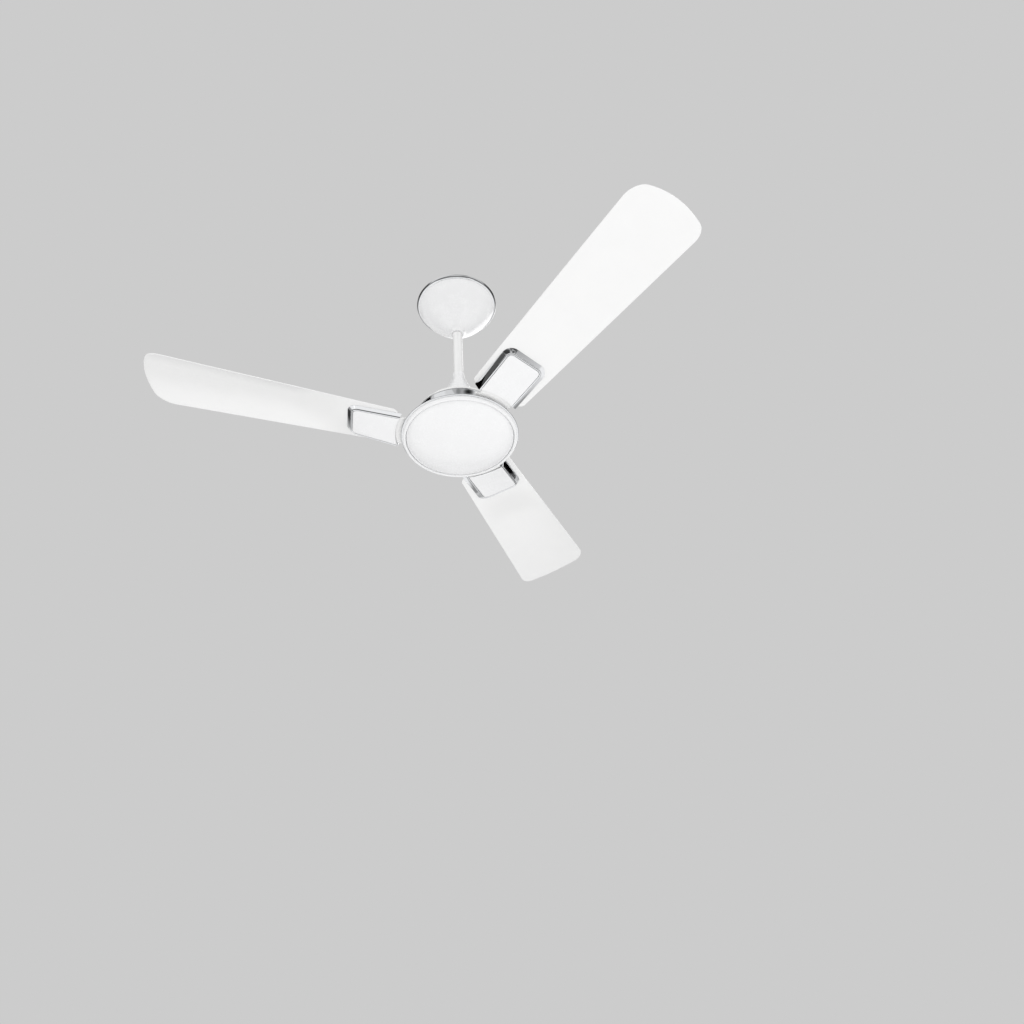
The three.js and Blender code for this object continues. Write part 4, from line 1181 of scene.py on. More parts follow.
    def _capacitor(self) -> None:
        """The running capacitor: a rounded case with a sunk end and two posts."""
        low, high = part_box("capacitor")
        case = box_piece("capacitor_case", low, high)
        rim = self.case_rim
        sink_low = Vector((low.x + rim, low.y + rim, high.z - self.sink_depth))
        sink_high = Vector((high.x - rim, high.y - rim, high.z + MM))
        carve(case, [box_piece("sink", sink_low, sink_high)])
        middle = (low + high) / 2
        posts = []
        for side in (-1, 1):
            y = middle.y + side * self.post_offset
            foot = Vector((middle.x, y, high.z - self.post_depth))
            top = foot + Vector((0, 0, self.post_height))
            posts.append(rod_piece("post", self.post_radius, foot, top, SIDES_SMALL))
        carve(case, posts, "UNION")
        self.add(softened(case, 1.0 * MM, segments=4, angle=50), CAPACITOR, "capacitor")


# ---- Rod ---------------------------------------------------------------------------------------


@dataclass
class Rod(SubAssembly):
    """The down rod, its coupling, and the still half of the motor that hangs on it."""

    bore: float = 7.5 * MM
    bolt_radius: float = 4 * MM
    coupling_bolt: float = 3 * MM
    bolt_inset: float = 14 * MM
    coupling_inset: float = 16 * MM
    lead_inset: float = 31 * MM
    lead_hole: float = 5.6 * MM
    shaft_radius: float = 8.5 * MM
    coupling_floor: float = 8 * MM
    coupling_chamfer: Point = (1.2 * MM, 2.5 * MM)
    coupling_groove: tuple[Point, ...] = (
        (0, 8 * MM),
        (0.8 * MM, 7 * MM),
        (0.8 * MM, 3 * MM),
        (0, 2 * MM),
    )
    body: Body = Body.ROD

    def build(self) -> None:
        """Makes the pieces and dresses the ones that stay."""
        self._tube()
        self._coupling()
        BoltSet("coupling", self.coupling_bolt, self, thread_pitch=0.9 * MM).build()
        self.dress(SLEEVE, "lead_wires")
        self.dress(STEEL, "motor_shaft", "upper_bearing_inner_race", "lower_bearing_inner_race")
        self.dress(LAMINATIONS, "stator_core")
        self.dress(COPPER, "stator_winding")

    def _tube(self) -> None:
        """The tube with its two bolt holes and the hole for the leads."""
        radius = ROD.radius
        profile = [
            (self.bore, ROD.low),
            (radius, ROD.low),
            (radius, ROD.high),
            (self.bore, ROD.high),
        ]
        tube = lathe("painted_down_rod", profile, SIDES_MEDIUM)
        holes = []
        for z, size in (
            (ROD.high - self.bolt_inset, self.bolt_radius + GAP),
            (ROD.low + self.coupling_inset, self.coupling_bolt + GAP),
        ):
            holes.append(cross_hole(size, 2 * radius, Vector((0, 0, z))))
        start = Vector((0, 0, ROD.high - self.lead_inset))
        end = start + Vector((0, 2 * radius, 0))
        holes.append(rod_piece("hole", self.lead_hole, start, end, SIDES_HOLE))
        carve(tube, holes)
        self.add(softened(tube, 0.5 * MM), ENAMEL, "down_rod")

    def _coupling(self) -> None:
        """The socket that holds the rod's foot on the shaft."""
        size = Extent.of("shaft_coupling")
        socket = ROD.radius + GAP
        floor = size.low + self.coupling_floor
        chamfer_width, chamfer_height = self.coupling_chamfer
        profile = [
            (self.shaft_radius + GAP, size.low),
            (size.radius - chamfer_width, size.low),
            (size.radius, size.low + chamfer_height),
            *((size.radius - inset, size.high - down) for inset, down in self.coupling_groove),
            (size.radius, size.high),
            (socket, size.high),
            (socket, floor),
            (self.shaft_radius + GAP, floor),
        ]
        coupling = lathe("turned_shaft_coupling", profile, SIDES_MEDIUM)
        middle = Vector((0, 0, ROD.low + self.coupling_inset))
        carve(coupling, [cross_hole(self.coupling_bolt + GAP, 2 * size.radius, middle)])
        self.add(softened(coupling, 0.4 * MM, angle=35), STEEL, "shaft_coupling")


# ---- Canopy and bell ---------------------------------------------------------------------------


@dataclass
class Cover(SubAssembly):
    """A cover that slides on the rod and is held by a set screw at +Y."""

    screw_radius: float = 1.9 * MM
    screw_head: float = 3.6 * MM
    screw_head_height: float = 3 * MM
    outside: float = 40 * MM
    bore: float = ROD.radius + 0.6 * MM

    def screw_tools(self, node: str, seat: float) -> list[Object]:
        """The shapes that cut a set screw's hole and the flat seat of its head.

        Args:
            node: the screw's CAD node.
            seat: the distance of the seat from the axis.

        Returns:
            The two tools.
        """
        low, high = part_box(node)
        z = (low.z + high.z) / 2
        middle = Vector((0, 0, z))
        outside = Vector((0, self.outside, z))
        hole = rod_piece("hole", self.screw_radius + GAP, middle, outside, 32)
        start = Vector((0, seat, z))
        flat = rod_piece("seat", self.screw_head + GAP, start, outside, SIDES_HOLE)
        return [hole, flat]

    def set_screw(self, node: str) -> None:
        """The set screw itself, its tip just off the rod.

        Args:
            node: the screw's CAD node.
        """
        low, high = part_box(node)
        seat = high.y - self.screw_head_height
        screw = PanScrew(
            self.screw_radius, self.screw_head, self.screw_head_height, seat - low.y
        ).model(f"pan_head_{node}")
        turn = Matrix.Rotation(-math.pi / 2, 4, "X")
        place = Matrix.Translation((0, seat, (low.z + high.z) / 2))
        screw.data.transform(place @ turn)
        self.add(screw, ZINC, node)


@dataclass
class Canopy(Cover):
    """The bowl against the ceiling and the bright ring round its rim."""

    neck_radius: float = 13.5 * MM
    wall: float = 2 * MM
    step: float = 1.2 * MM
    rim: float = 3 * MM
    ring_height: float = 7 * MM
    shares: tuple[Point, ...] = (
        (1, 0.076),
        (0.965, 0.12),
        (0.86, 0.25),
        (0.72, 0.39),
        (0.55, 0.53),
        (0.36, 0.67),
        (0.18, 0.783),
        (0.07, 0.857),
        (0.02, 0.912),
        (0, 1),
    )
    bead_shares: tuple[Point, ...] = ((0.07, 0), (0.45, 0.1), (0.8, 0.36), (1, 0.72))
    body: Body = Body.CANOPY

    def build(self) -> None:
        """Makes the bowl, the ring and the set screw."""
        size = Extent.of("canopy_shell")
        depth = self.rim - size.low
        points = [
            (mix(self.neck_radius, size.radius, out), self.rim - down * depth)
            for out, down in self.shares
        ]
        outside = [points[0], *flowing(points[1:])]
        inside = inset_line(outside, self.wall, self.bore)
        inside[-1] = (self.bore, size.low)
        rim_radius = size.radius - self.step
        profile = [
            (rim_radius - self.wall, size.high),
            (rim_radius, size.high),
            (rim_radius, self.rim - self.ring_height),
            *outside,
            *reversed(inside),
        ]
        bowl = lathe("painted_canopy_bowl", profile, SIDES_LARGE)
        carve(bowl, self.screw_tools("canopy_screw", self.neck_radius))
        self.add(softened(bowl, 0.5 * MM), MOULDING, "canopy_shell")
        self._ring(size.radius)
        self.set_screw("canopy_screw")

    def _ring(self, bowl_radius: float) -> None:
        """The bright ring, rounded like a quarter of a bead.

        Args:
            bowl_radius: the radius of the bowl that it goes round.
        """
        size = Extent.of("canopy_ring")
        inner = bowl_radius - self.step + GAP
        spread = size.radius - bowl_radius
        points = [
            (bowl_radius + out * spread, size.low + up * size.height)
            for out, up in self.bead_shares
        ]
        bead = flowing(points)
        profile = [(inner, size.low), *bead, (size.radius, size.high), (inner, size.high)]
        ring = lathe("bright_canopy_ring", profile, SIDES_LARGE)
        self.add(softened(ring, 0.3 * MM), CHROME, "canopy_ring")


@dataclass
class Bell(Cover):
    """The bell over the coupling."""

    top_radius: float = 11.6 * MM
    neck_radius: float = 12.2 * MM
    wall: float = 1.725 * MM
    sides: int = 112
    shares: tuple[Point, ...] = (
        (0, 1),
        (0.05, 0.89),
        (0.18, 0.77),
        (0.444, 0.61),
        (0.68, 0.45),
        (0.85, 0.28),
        (0.957, 0.12),
        (1, 0),
    )
    body: Body = Body.BELL

    def build(self) -> None:
        """Makes the bell and its set screw."""
        size = Extent.of("bell_cover")
        points = [
            (mix(self.top_radius, size.radius, out), size.low + up * size.height)
            for out, up in self.shares
        ]
        outside = flowing(points, steps=6)
        inside = [(max(r - self.wall, self.bore), z) for r, z in reversed(outside)]
        bell = lathe("painted_bell", [*outside, *inside], self.sides)
        carve(bell, self.screw_tools("bell_screw", self.neck_radius))
        self.add(softened(bell, 0.4 * MM), MOULDING, "bell_cover")
        self.set_screw("bell_screw")


# ---- Motor -------------------------------------------------------------------------------------


@dataclass
class Motor(SubAssembly):
    """The turning half of the motor: two housings, the bright band and what they clamp."""

    housing_wall: float = 3 * MM
    shoulder: float = 8 * MM
    shoulder_line: tuple[Point, ...] = ((0, 2 * MM), (1.1 * MM, 5 * MM), (3.7 * MM, 8 * MM))
    roof_shares: tuple[Point, ...] = ((0.84, 0.3), (0.66, 0.52), (0.39, 0.77))
    inner_share: float = 0.62
    hub_slope: Point = (3 * MM, 1 * MM)
    hub_edge: float = 1.5 * MM
    hub_foot: float = 2 * MM
    roof_wall: float = 3.6 * MM
    drill_reach: float = 5 * MM
    race_inner: float = 14.5 * MM
    seat_radius: float = 17.8 * MM
    seat_wall: float = 3 * MM
    bearing_height: float = 11 * MM
    ring_bore: float = 64.5 * MM
    flange_bore: float = 58 * MM
    flange_radius: float = 95 * MM
    flange_low: float = 4 * MM
    flange_top: float = 7 * MM
    lip_height: float = 4 * MM
    well_slope: float = 6 * MM
    seat_step: float = 0.5 * MM
    well_inner: Point = (8 * MM, 2 * MM)
    band_bead: float = 0.5 * MM
    bead_heights: tuple[float, float] = (1.4 * MM, 1.9 * MM)
    screw_radius: float = 2.5 * MM
    screw_head: float = 4.5 * MM
    screw_head_height: float = 3 * MM
    screw_count: int = 3

    def build(self) -> None:
        """Makes the visible pieces and dresses the ones inside."""
        self._upper_housing()
        self._lower_housing()
        self._band()
        self._screws()
        self.dress(LAMINATIONS, "rotor_ring")
        self.dress(STEEL, "upper_bearing_outer_race", "lower_bearing_outer_race")

    def _upper_housing(self) -> None:
        """The top housing, rounded at its shoulder, with a raised hub round the bearing."""
        size = Extent.of("upper_housing")
        edge, foot, top = size.radius, size.low, size.high
        roof = size.height - self.shoulder
        hub = self.seat_radius + self.seat_wall
        start = foot + self.shoulder
        corner = [(edge - inset, foot + up) for inset, up in self.shoulder_line]
        slope = [
            (mix(self.seat_radius, edge, out), start + up * roof) for out, up in self.roof_shares
        ]
        last = (hub + self.hub_slope[0], top - self.hub_slope[1])
        shoulder = flowing([*corner, *slope, last])
        bearing_foot = top - self.housing_wall - self.bearing_height + MM
        cap = bearing_foot + self.bearing_height
        profile = [
            (edge, foot),
            *shoulder,
            (hub + self.hub_edge, top),
            (self.race_inner, top),
            (self.race_inner, cap),
            (self.seat_radius, cap),
            (self.seat_radius, bearing_foot),
            (hub, bearing_foot),
            (hub, top - self.housing_wall - self.hub_foot),
            (slope[2][0], slope[2][1] - self.roof_wall),
            (mix(self.seat_radius, edge, self.inner_share), slope[1][1] - self.housing_wall),
            (self.ring_bore, foot),
        ]
        housing = lathe("painted_upper_housing", profile, SIDES_LARGE)
        tools = []
        for i in range(1, self.screw_count + 1):
            low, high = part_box(f"housing_screw_{i}")
            middle = (low + high) / 2
            seat = high.z - self.screw_head_height - GAP
            foot_place = Vector((middle.x, middle.y, seat))
            above = Vector((middle.x, middle.y, top + self.drill_reach))
            below = Vector((middle.x, middle.y, foot - self.drill_reach))
            tools.append(rod_piece("seat", self.screw_head + GAP, foot_place, above, SIDES_HOLE))
            tools.append(rod_piece("hole", self.screw_radius + GAP, below, above, SIDES_SMALL))
        carve(housing, tools)
        self.add(softened(housing, 0.35 * MM), ENAMEL, "upper_housing")

    def _lower_housing(self) -> None:
        """The bottom housing with the flange that carries the blade arms."""
        size = Extent.of("lower_housing")
        low, top = size.low, size.high
        edge = Extent.of("motor_band").radius - GAP
        flange_low, flange_top = low + self.flange_low, low + self.flange_top
        wall = edge - self.housing_wall - MM
        seat_top = low + self.housing_wall + self.bearing_height
        ledge = top - self.housing_wall
        well_floor, well_top = (self.flange_bore - inset for inset in self.well_inner)
        profile = [
            (edge, top),
            (edge, top - self.lip_height),
            (self.flange_radius, flange_top + MM),
            (self.flange_radius, flange_low),
            (self.flange_bore, flange_low),
            (self.flange_bore - self.well_slope, low),
            (self.race_inner, low),
            (self.race_inner, low + self.housing_wall),
            (self.seat_radius, low + self.housing_wall),
            (self.seat_radius, seat_top),
            (self.seat_radius + self.seat_wall, seat_top),
            (self.seat_radius + self.seat_wall, low + self.housing_wall + self.seat_step),
            (well_floor, low + self.housing_wall),
            (well_top, flange_top),
            (wall, flange_top),
            (wall, ledge),
            (self.ring_bore + MM, ledge),
            (self.ring_bore + MM, top),
        ]
        housing = lathe("painted_lower_housing", profile, SIDES_LARGE)
        self.add(softened(housing, 0.6 * MM, angle=35), ENAMEL, "lower_housing")

    def _band(self) -> None:
        """The bright band round the rotor ring, with a fine bead at each edge."""
        size = Extent.of("motor_band")
        inner = Extent.of("rotor_ring").radius + GAP
        sunk = size.radius - self.band_bead
        start, end = self.bead_heights
        profile = [
            (inner, size.low),
            (size.radius, size.low),
            (size.radius, size.low + start),
            (sunk, size.low + end),
            (sunk, size.high - end),
            (size.radius, size.high - start),
            (size.radius, size.high),
            (inner, size.high),
        ]
        band = lathe("bright_motor_band", profile, SIDES_LARGE)
        self.add(softened(band, 0.3 * MM, angle=25), CHROME, "motor_band")

    def _screws(self) -> None:
        """The screws that clamp the housings."""
        low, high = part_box("housing_screw_1")
        length = high.z - self.screw_head_height - low.z
        screw = PanScrew(self.screw_radius, self.screw_head, self.screw_head_height, length)
        model = screw.model("housing_screw_model")
        for i in range(1, self.screw_count + 1):
            low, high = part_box(f"housing_screw_{i}")
            middle = (low + high) / 2
            seat = high.z - self.screw_head_height
            turn = Matrix.Rotation(i, 4, "Z")
            place = Matrix.Translation((middle.x, middle.y, seat)) @ turn
            self.add(
                twin(model, f"pan_head_housing_screw_{i}", place), ZINC, f"housing_screw_{i}"
            )
        bpy.data.objects.remove(model)


@dataclass
class BottomCover(SubAssembly):
    """The white ring, the bright band above it and the dome under the motor."""

    rim_top: float = 3 * MM
    rim_depth: float = 7 * MM
    rim_width: float = 6.5 * MM
    web_bore: float = 60 * MM
    web_thickness: float = 2.5 * MM
    collar: float = 2 * MM
    spigot_inset: float = 5 * MM
    spigot_depth: float = 4 * MM
    lip_line: tuple[Point, ...] = (
        (0, 1.5 * MM),
        (0.3, 0.1 * MM),
        (0.66, 0.7 * MM),
        (25 / 26, 3.4 * MM),
        (1, 5 * MM),
    )
    band_line: tuple[Point, ...] = ((0.6 * MM, 0.22), (0, 0.5), (0.15 * MM, 0.78), (MM, 1))
    boss_radius: float = 8 * MM
    boss_height: float = 3.4 * MM
    dome_depth: float = 32 * MM
    dome_wall: float = 2 * MM
    dome_lift: float = 5 * MM
    dome_inner_scale: float = 0.985
    dome_inner_start: int = 9
    dome_shares: tuple[Point, ...] = (
        (1, 0.07),
        (0.985, 0.17),
        (0.9, 0.37),
        (0.76, 0.57),
        (0.585, 0.745),
        (0.39, 0.885),
        (0.195, 0.97),
        (0, 1),
    )

    def build(self) -> None:
        """Makes the ring, the band and the dome."""
        self._ring()
        self._band()
        self._dome()

    def _ring(self) -> None:
        """The white ring with its rounded lip, and the web inside it."""
        radius = Extent.of("bottom_ring").radius
        dome_radius = Extent.of("dome_cover").radius
        top = HUB + self.rim_top
        web = top + GAP / 2
        foot = top - self.rim_depth
        groove = radius - self.rim_width
        spigot = dome_radius - self.spigot_inset
        lip = flowing([(groove + out * self.rim_width, foot + up) for out, up in self.lip_line])
        profile = [
            (self.web_bore, web),
            (spigot - self.collar, web),
            (spigot - self.collar, web - self.spigot_depth),
            (spigot, web - self.spigot_depth),
            (spigot, web),
            (groove, web),
            *lip,
            (radius, top),
            (groove + MM, top),
            (groove + MM, web + self.web_thickness),
            (self.web_bore, web + self.web_thickness),
        ]
        ring = lathe("moulded_bottom_ring", profile, SIDES_LARGE)
        bosses = []
        for i in (1, 2, 3):
            low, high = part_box(f"arm_screw_{i}")
            middle = (low + high) / 2
            start = Vector((middle.x, middle.y, web + MM))
            end = Vector((middle.x, middle.y, web + self.web_thickness + self.boss_height))
            bosses.append(rod_piece("boss", self.boss_radius, start, end, SIDES_HOLE))
        carve(ring, bosses, "UNION")
        self.add(softened(ring, 0.3 * MM), MOULDING, "bottom_ring")

    def _band(self) -> None:
        """The thin bright band between the ring and the arms."""
        size = Extent.of("rim_band")
        ring = Extent.of("bottom_ring").radius
        step = ring - self.rim_width + MM + GAP
        line = [
            (size.radius - inset, size.low + up * size.height) for inset, up in self.band_line
        ]
        edge = flowing([(ring, size.low), *line])
        profile = [(step, size.low), *edge, (step + MM, size.high)]
        profile.append((step, size.high - MM))
        band = lathe("bright_rim_band", profile, SIDES_LARGE)
        self.add(softened(band, 0.2 * MM, segments=2), CHROME, "rim_band")

    def _dome(self) -> None:
        """The white dome, its edge turned up inside the ring."""
        size = Extent.of("dome_cover")
        web = HUB + self.rim_top + GAP / 2
        line = flowing(
            [(out * size.radius, web - down * self.dome_depth) for out, down in self.dome_shares],
            steps=6,
        )
        covered = line[self.dome_inner_start :]
        inner = [(r * self.dome_inner_scale, z + self.dome_wall) for r, z in covered]
        spigot = size.radius - self.spigot_inset + GAP
        profile = [(size.radius, size.high), *line, *reversed(inner)]
        profile += [(spigot, inner[0][1] + self.dome_lift), (spigot, size.high)]
        dome = lathe("moulded_dome", profile, SIDES_LARGE)
        self.add(softened(dome, 0.6 * MM), MOULDING, "dome_cover")


# ---- Blades ------------------------------------------------------------------------------------


@dataclass
class BladeSet(SubAssembly):
    """One blade with its arm, its trim and their screws, made about +X from the hub."""

    number: int = 1
    first_direction: float = -48.7
    count: int = 3
    rise: float = math.radians(8.53)
    pitch: float = math.radians(-10.83)
    sweep: float = 599 * MM
    root: float = 120 * MM
    root_slant: float = 0.13
    sheet: float = 1.5 * MM
    camber: float = 6 * MM
    camber_start: float = 216 * MM
    camber_full: float = 330 * MM
    lead_root: float = 64.5 * MM
    lead_tip: float = 104.8 * MM
    trail_root: float = 44.8 * MM
    trail_tip: float = 51.4 * MM
    tip_crown: float = 7.6 * MM
    tip_centre: float = -9.9 * MM
    crown_half: float = 50 * MM
    lead_corner: tuple[float, float] = (24 * MM, 30 * MM)
    trail_corner: tuple[float, float] = (16 * MM, 22 * MM)
    root_corner: tuple[float, float] = (14 * MM, 10 * MM)
    rows: int = 90
    columns: int = 44
    arm_root: float = 70 * MM
    arm_foot: float = 34 * MM
    arm_top: float = 12.7 * MM
    arm_thickness: float = 3 * MM
    arm_sheet: float = 0.85 * 3 * MM
    arm_rows: int = 96
    arm_columns: int = 28
    row_crowding: float = 1.3
    foot_share: float = 0.6
    foot_length: float = 14 * MM
    arm_screw: float = 84 * MM
    arm_spread: float = 20 * MM
    arm_shoulder: float = 3 * MM
    shoulder_length: float = 2.5 * MM
    arm_corner: float = 10 * MM
    arm_end_gap: float = 0.2 * MM
    side_inset: float = 5 * MM
    end_inset: float = 12 * MM
    twist_start: float = 118 * MM
    twist_end: float = 144 * MM
    trim_width: float = 79 * MM
    trim_middle: float = -12 * MM
    trim_turn: float = math.radians(-3.4)
    trim_end: float = 210.4 * MM
    trim_arc: float = 122 * MM
    trim_corner: float = 13 * MM
    trim_flare: float = 7 * MM
    trim_depth: float = 5.9 * MM
    drop_root: float = 12.6 * MM
    drop_tip: float = 2.4 * MM
    bezel_width: float = 4 * MM
    bezel_round: float = 2.6 * MM
    bead_shares: tuple[Point, ...] = ((0, 1), (0.18, 0.3), (0.46, 0), (0.8, 0.2), (1, 0.8))
    corner_steps: int = 14
    panel_thickness: float = 1.6 * MM
    panel_inset: float = 0.4 * MM
    panel_border: float = 2.4 * MM
    panel_boss: float = 3 * MM
    panel_slope: float = 0.25
    panel_rows: int = 48
    crowding: float = 0.75
    screw_place: float = 165 * MM
    screw_spread: float = 25 * MM
    screw_radius: float = 2.5 * MM
    screw_head: float = 5 * MM
    arm_screw_height: float = 2.7 * MM
    blade_screw_height: float = 2.8 * MM

    def __post_init__(self) -> None:
        """Works out the places that several pieces share."""
        turn = math.radians(self.first_direction + 360 / self.count * (self.number - 1))
        self.spin = HUB_PLACE @ Matrix.Rotation(turn, 4, "Z")
        tilt = Matrix.Rotation(-self.rise, 4, "Y") @ Matrix.Rotation(self.pitch, 4, "X")
        self.tilt = tilt
        self.lie = self.spin @ tilt
        self.tip = self.sweep / math.cos(self.rise)
        self.trim_low = self.trim_middle - self.trim_width / 2
        self.trim_high = self.trim_middle + self.trim_width / 2
        self.trim_centre = Vector(((self.trim_arc + self.trim_end) / 2, self.trim_middle, 0))
        centre = Matrix.Translation(self.trim_centre)
        self.turned = centre @ Matrix.Rotation(self.trim_turn, 4, "Z") @ centre.inverted()
        self.axis_seen = self.turned.inverted() @ Vector((0, 0, 0))

    def build(self) -> None:
        """Makes the blade's pieces."""
        self._blade()
        self._arm()
        self._trim_frame()
        self._trim_panel()
        self._screws()

    @staticmethod
    def _fall(reach: float, corner: tuple[float, float]) -> float:
        """How far an end falls back at a rounded corner.

        Args:
            reach: the distance from the side.
            corner: the width and the length of the rounding.

        Returns:
            The fall.
        """
        width, length = corner
        inside = min(max((width - reach) / width, 0.0), 1.0)
        return length * (1 - math.sqrt(1 - inside * inside))

    def _edges(self, x: float) -> Point:
        """The two edges of the blade at a distance from the hub."""
        t = (x - self.root) / (self.tip - self.root)
        return -mix(self.lead_root, self.lead_tip, t), mix(self.trail_root, self.trail_tip, t)

    def _blade_point(self, along: float, across: float) -> Vector:
        """A point of the blade's underside.

        Args:
            along: the share of the way from the root to the tip.
            across: the share of the way from the leading to the trailing edge.

        Returns:
            The point, in the blade's own frame.
        """
        low_tip, high_tip = self._edges(self.tip)
        low_root, high_root = self._edges(self.root)
        y_tip = mix(low_tip, high_tip, across)
        y_root = mix(low_root, high_root, across)
        crown = self.tip_crown * ((y_tip - self.tip_centre) / self.crown_half) ** 2
        tip = self.tip - crown
        tip -= self._fall(y_tip - low_tip, self.lead_corner)
        tip -= self._fall(high_tip - y_tip, self.trail_corner)
        root = self.root + self.root_slant * y_root
        root += self._fall(y_root - low_root, self.root_corner)
        root += self._fall(high_root - y_root, self.root_corner)
        x = mix(root, tip, along)
        low, high = self._edges(x)
        ramp = smooth((x - self.camber_start) / (self.camber_full - self.camber_start))
        side = 2 * across - 1
        return Vector((x, mix(low, high, across), self.camber * ramp * (1 - side * side)))

    def _shaped_grid(
        self,
        name: str,
        rows: int,
        columns: int,
        shape: Callable[[float, float], Vector],
    ) -> Object:
        """A grid whose points a formula places.

        Args:
            name: the piece's name.
            rows: faces along it.
            columns: faces across it.
            shape: gives a point for its shares along and across.

        Returns:
            The sheet.
        """

        def add() -> None:
            """Adds the grid."""
            bpy.ops.mesh.primitive_grid_add(x_subdivisions=rows, y_subdivisions=columns, size=1)

        sheet = started(name, add)
        for vertex in sheet.data.vertices:
            vertex.co = shape(vertex.co.x + 0.5, vertex.co.y + 0.5)
        return sheet

    def _blade(self) -> None:
        """The blade: a pressed sheet, arched across, with rolled edges."""

        def point(along: float, across: float) -> Vector:
            """The blade's underside, its points crowded towards the two edges."""
            return self._blade_point(along, to_edges(across))

        blade = self._shaped_grid(f"pressed_blade_{self.number}", self.rows, self.columns, point)
        modify(blade, "SOLIDIFY", thickness=self.sheet, offset=1)
        blade.data.transform(self.lie)
        self.add(softened(blade, 0.6 * MM, angle=50), ENAMEL, f"blade_{self.number}")

    def _arm_edges(self, x: float) -> Point:
        """The two sides of the arm at a distance from the axis.

        Args:
            x: the distance.

        Returns:
            The leading and the trailing side.
        """
        middle = self.trim_middle + (x - self.trim_centre.x) * math.tan(self.trim_turn)
        inward = smooth((x - self.arm_screw - self.arm_spread) / self.shoulder_length)
        half = self.trim_width / 2 + mix(self.arm_shoulder, -self.side_inset, inward)
        widened = smooth((x - self.arm_root) / self.foot_length)
        foot = mix(self.foot_share, 1, widened) * self.arm_foot
        t = smooth((x - self.arm_screw) / self.arm_spread)
        corner = self._fall(self.trim_end - self.end_inset - x, (self.arm_corner,) * 2)
        return mix(-foot, middle - half, t) + corner, mix(foot, middle + half, t) - corner

    def _arm(self) -> None:
        """The arm: a level foot under the flange that twists up into the blade's pad."""
        last = self.trim_end - self.end_inset - self.arm_end_gap

        def point(along: float, across: float) -> Vector:
            """The arm's upper face.

            Args:
                along: the share of the way along.
                across: the share of the way across.

            Returns:
                Its point.
            """
            x = mix(self.arm_root, last, 1 - (1 - along) ** self.row_crowding)
            y = mix(*self._arm_edges(x), across)
            reach = math.hypot(x, y) - self.twist_start
            t = smooth(reach / (self.twist_end - self.twist_start))
            foot = Vector((x, y, self.arm_top))
            return foot.lerp(self.tilt @ Vector((x, y, -GAP)), t)

        name = f"pressed_blade_arm_{self.number}"
        arm = self._shaped_grid(name, self.arm_rows, self.arm_columns, point)
        modify(arm, "SOLIDIFY", thickness=self.arm_sheet, offset=-1)
        arm.data.transform(self.spin)
        self.add(softened(arm, 0.6 * MM, angle=50), ENAMEL, f"blade_arm_{self.number}")

    def _inner_end(self, y: float) -> float:
        """Where a line along the unturned trim meets its curved inner end."""
        reach = math.sqrt(self.trim_arc**2 - (y - self.axis_seen.y) ** 2)
        return self.axis_seen.x + reach / math.cos(self.rise)

    def _drop(self, x: float, y: float) -> float:
        """How far the trim's underside lies below its trailing side.

        Args:
            x: a place along the trim.
            y: a place across it.

        Returns:
            The drop.
        """
        along = (x - self.trim_arc) / (self.trim_end - self.trim_arc)
        share = (self.trim_high - y) / self.trim_width
        return share * mix(self.drop_root, self.drop_tip, along)

    def _settle(self, piece: Object) -> None:
        """Lets the leading side of a flat trim piece down and turns it about its middle.

        Args:
            piece: the flat piece.
        """
        for vertex in piece.data.vertices:
            if vertex.co.z < -2 * GAP:
                vertex.co.z -= self._drop(vertex.co.x, vertex.co.y)
        piece.data.transform(self.lie @ self.turned)

    def _trim_frame(self) -> None:
        """The bright bezel: its section drawn once, then run round the trim's outer end."""
        crest, tall, wide = -self.trim_depth, self.bezel_round, self.bezel_width
        bead = flowing([(out * wide, crest + up * tall) for out, up in self.bead_shares], steps=4)
        section = [(-self.trim_flare, -GAP), *bead, (wide, -GAP)]
        start = self.trim_arc
        low, high, radius = self.trim_low, self.trim_high, self.trim_corner
        corner = self.trim_end - radius
        name = f"bright_trim_frame_{self.number}"
        piece = draw_line(name, [(start, low + inset, height) for inset, height in section])
        bpy.ops.mesh.edge_face_add()
        self._run((corner - start, 0, 0))
        self._turn_corner((corner, low + radius, 0))
        self._run((0, high - low - 2 * radius, 0))
        self._turn_corner((corner, high - radius, 0))
        self._run((start - corner, 0, 0))
        close_up()
        for vertex in piece.data.vertices:
            if vertex.co.x < start + MM:
                vertex.co.x = self._inner_end(vertex.co.y)
        self._settle(piece)
        self.add(softened(piece, 0.3 * MM), CHROME, f"trim_frame_{self.number}")

    @staticmethod
    def _run(way: Place) -> None:
        """Carries the section straight on."""
        bpy.ops.mesh.extrude_region_move(TRANSFORM_OT_translate={"value": way})

    def _turn_corner(self, centre: Place) -> None:
        """Carries the section a quarter turn round a corner's centre.

        Args:
            centre: the corner's centre.
        """
        bpy.ops.mesh.spin(
            steps=self.corner_steps, angle=-math.pi / 2, center=centre, axis=(0, 0, 1)
        )

    def _trim_panel(self) -> None:
        """The white panel in the bezel, its border sloped and its field raised."""
        inset = self.bezel_width + GAP
        low, high = self.trim_low + inset, self.trim_high - inset
        rounding = (self.trim_corner - inset,) * 2
        slope = self.panel_slope * self.panel_thickness
        face = self.panel_inset - self.trim_depth

        def point(along: float, across: float) -> Vector:
            """The panel's underside, its points crowded towards its edges.

            Args:
                along: the share of the way along.
                across: the share of the way across.

            Returns:
                Its point.
            """
            y = mix(low, high, mix(across, to_edges(across), self.crowding))
            root = self._inner_end(y)
            end = self.trim_end - inset
            end -= self._fall(y - low, rounding) + self._fall(high - y, rounding)
            x = mix(root, end, mix(along, to_edges(along), self.crowding))
            edge = min(y - low, high - y, x - root, end - x)
            return Vector((x, y, face + slope * (1 - smooth(edge / self.panel_border))))

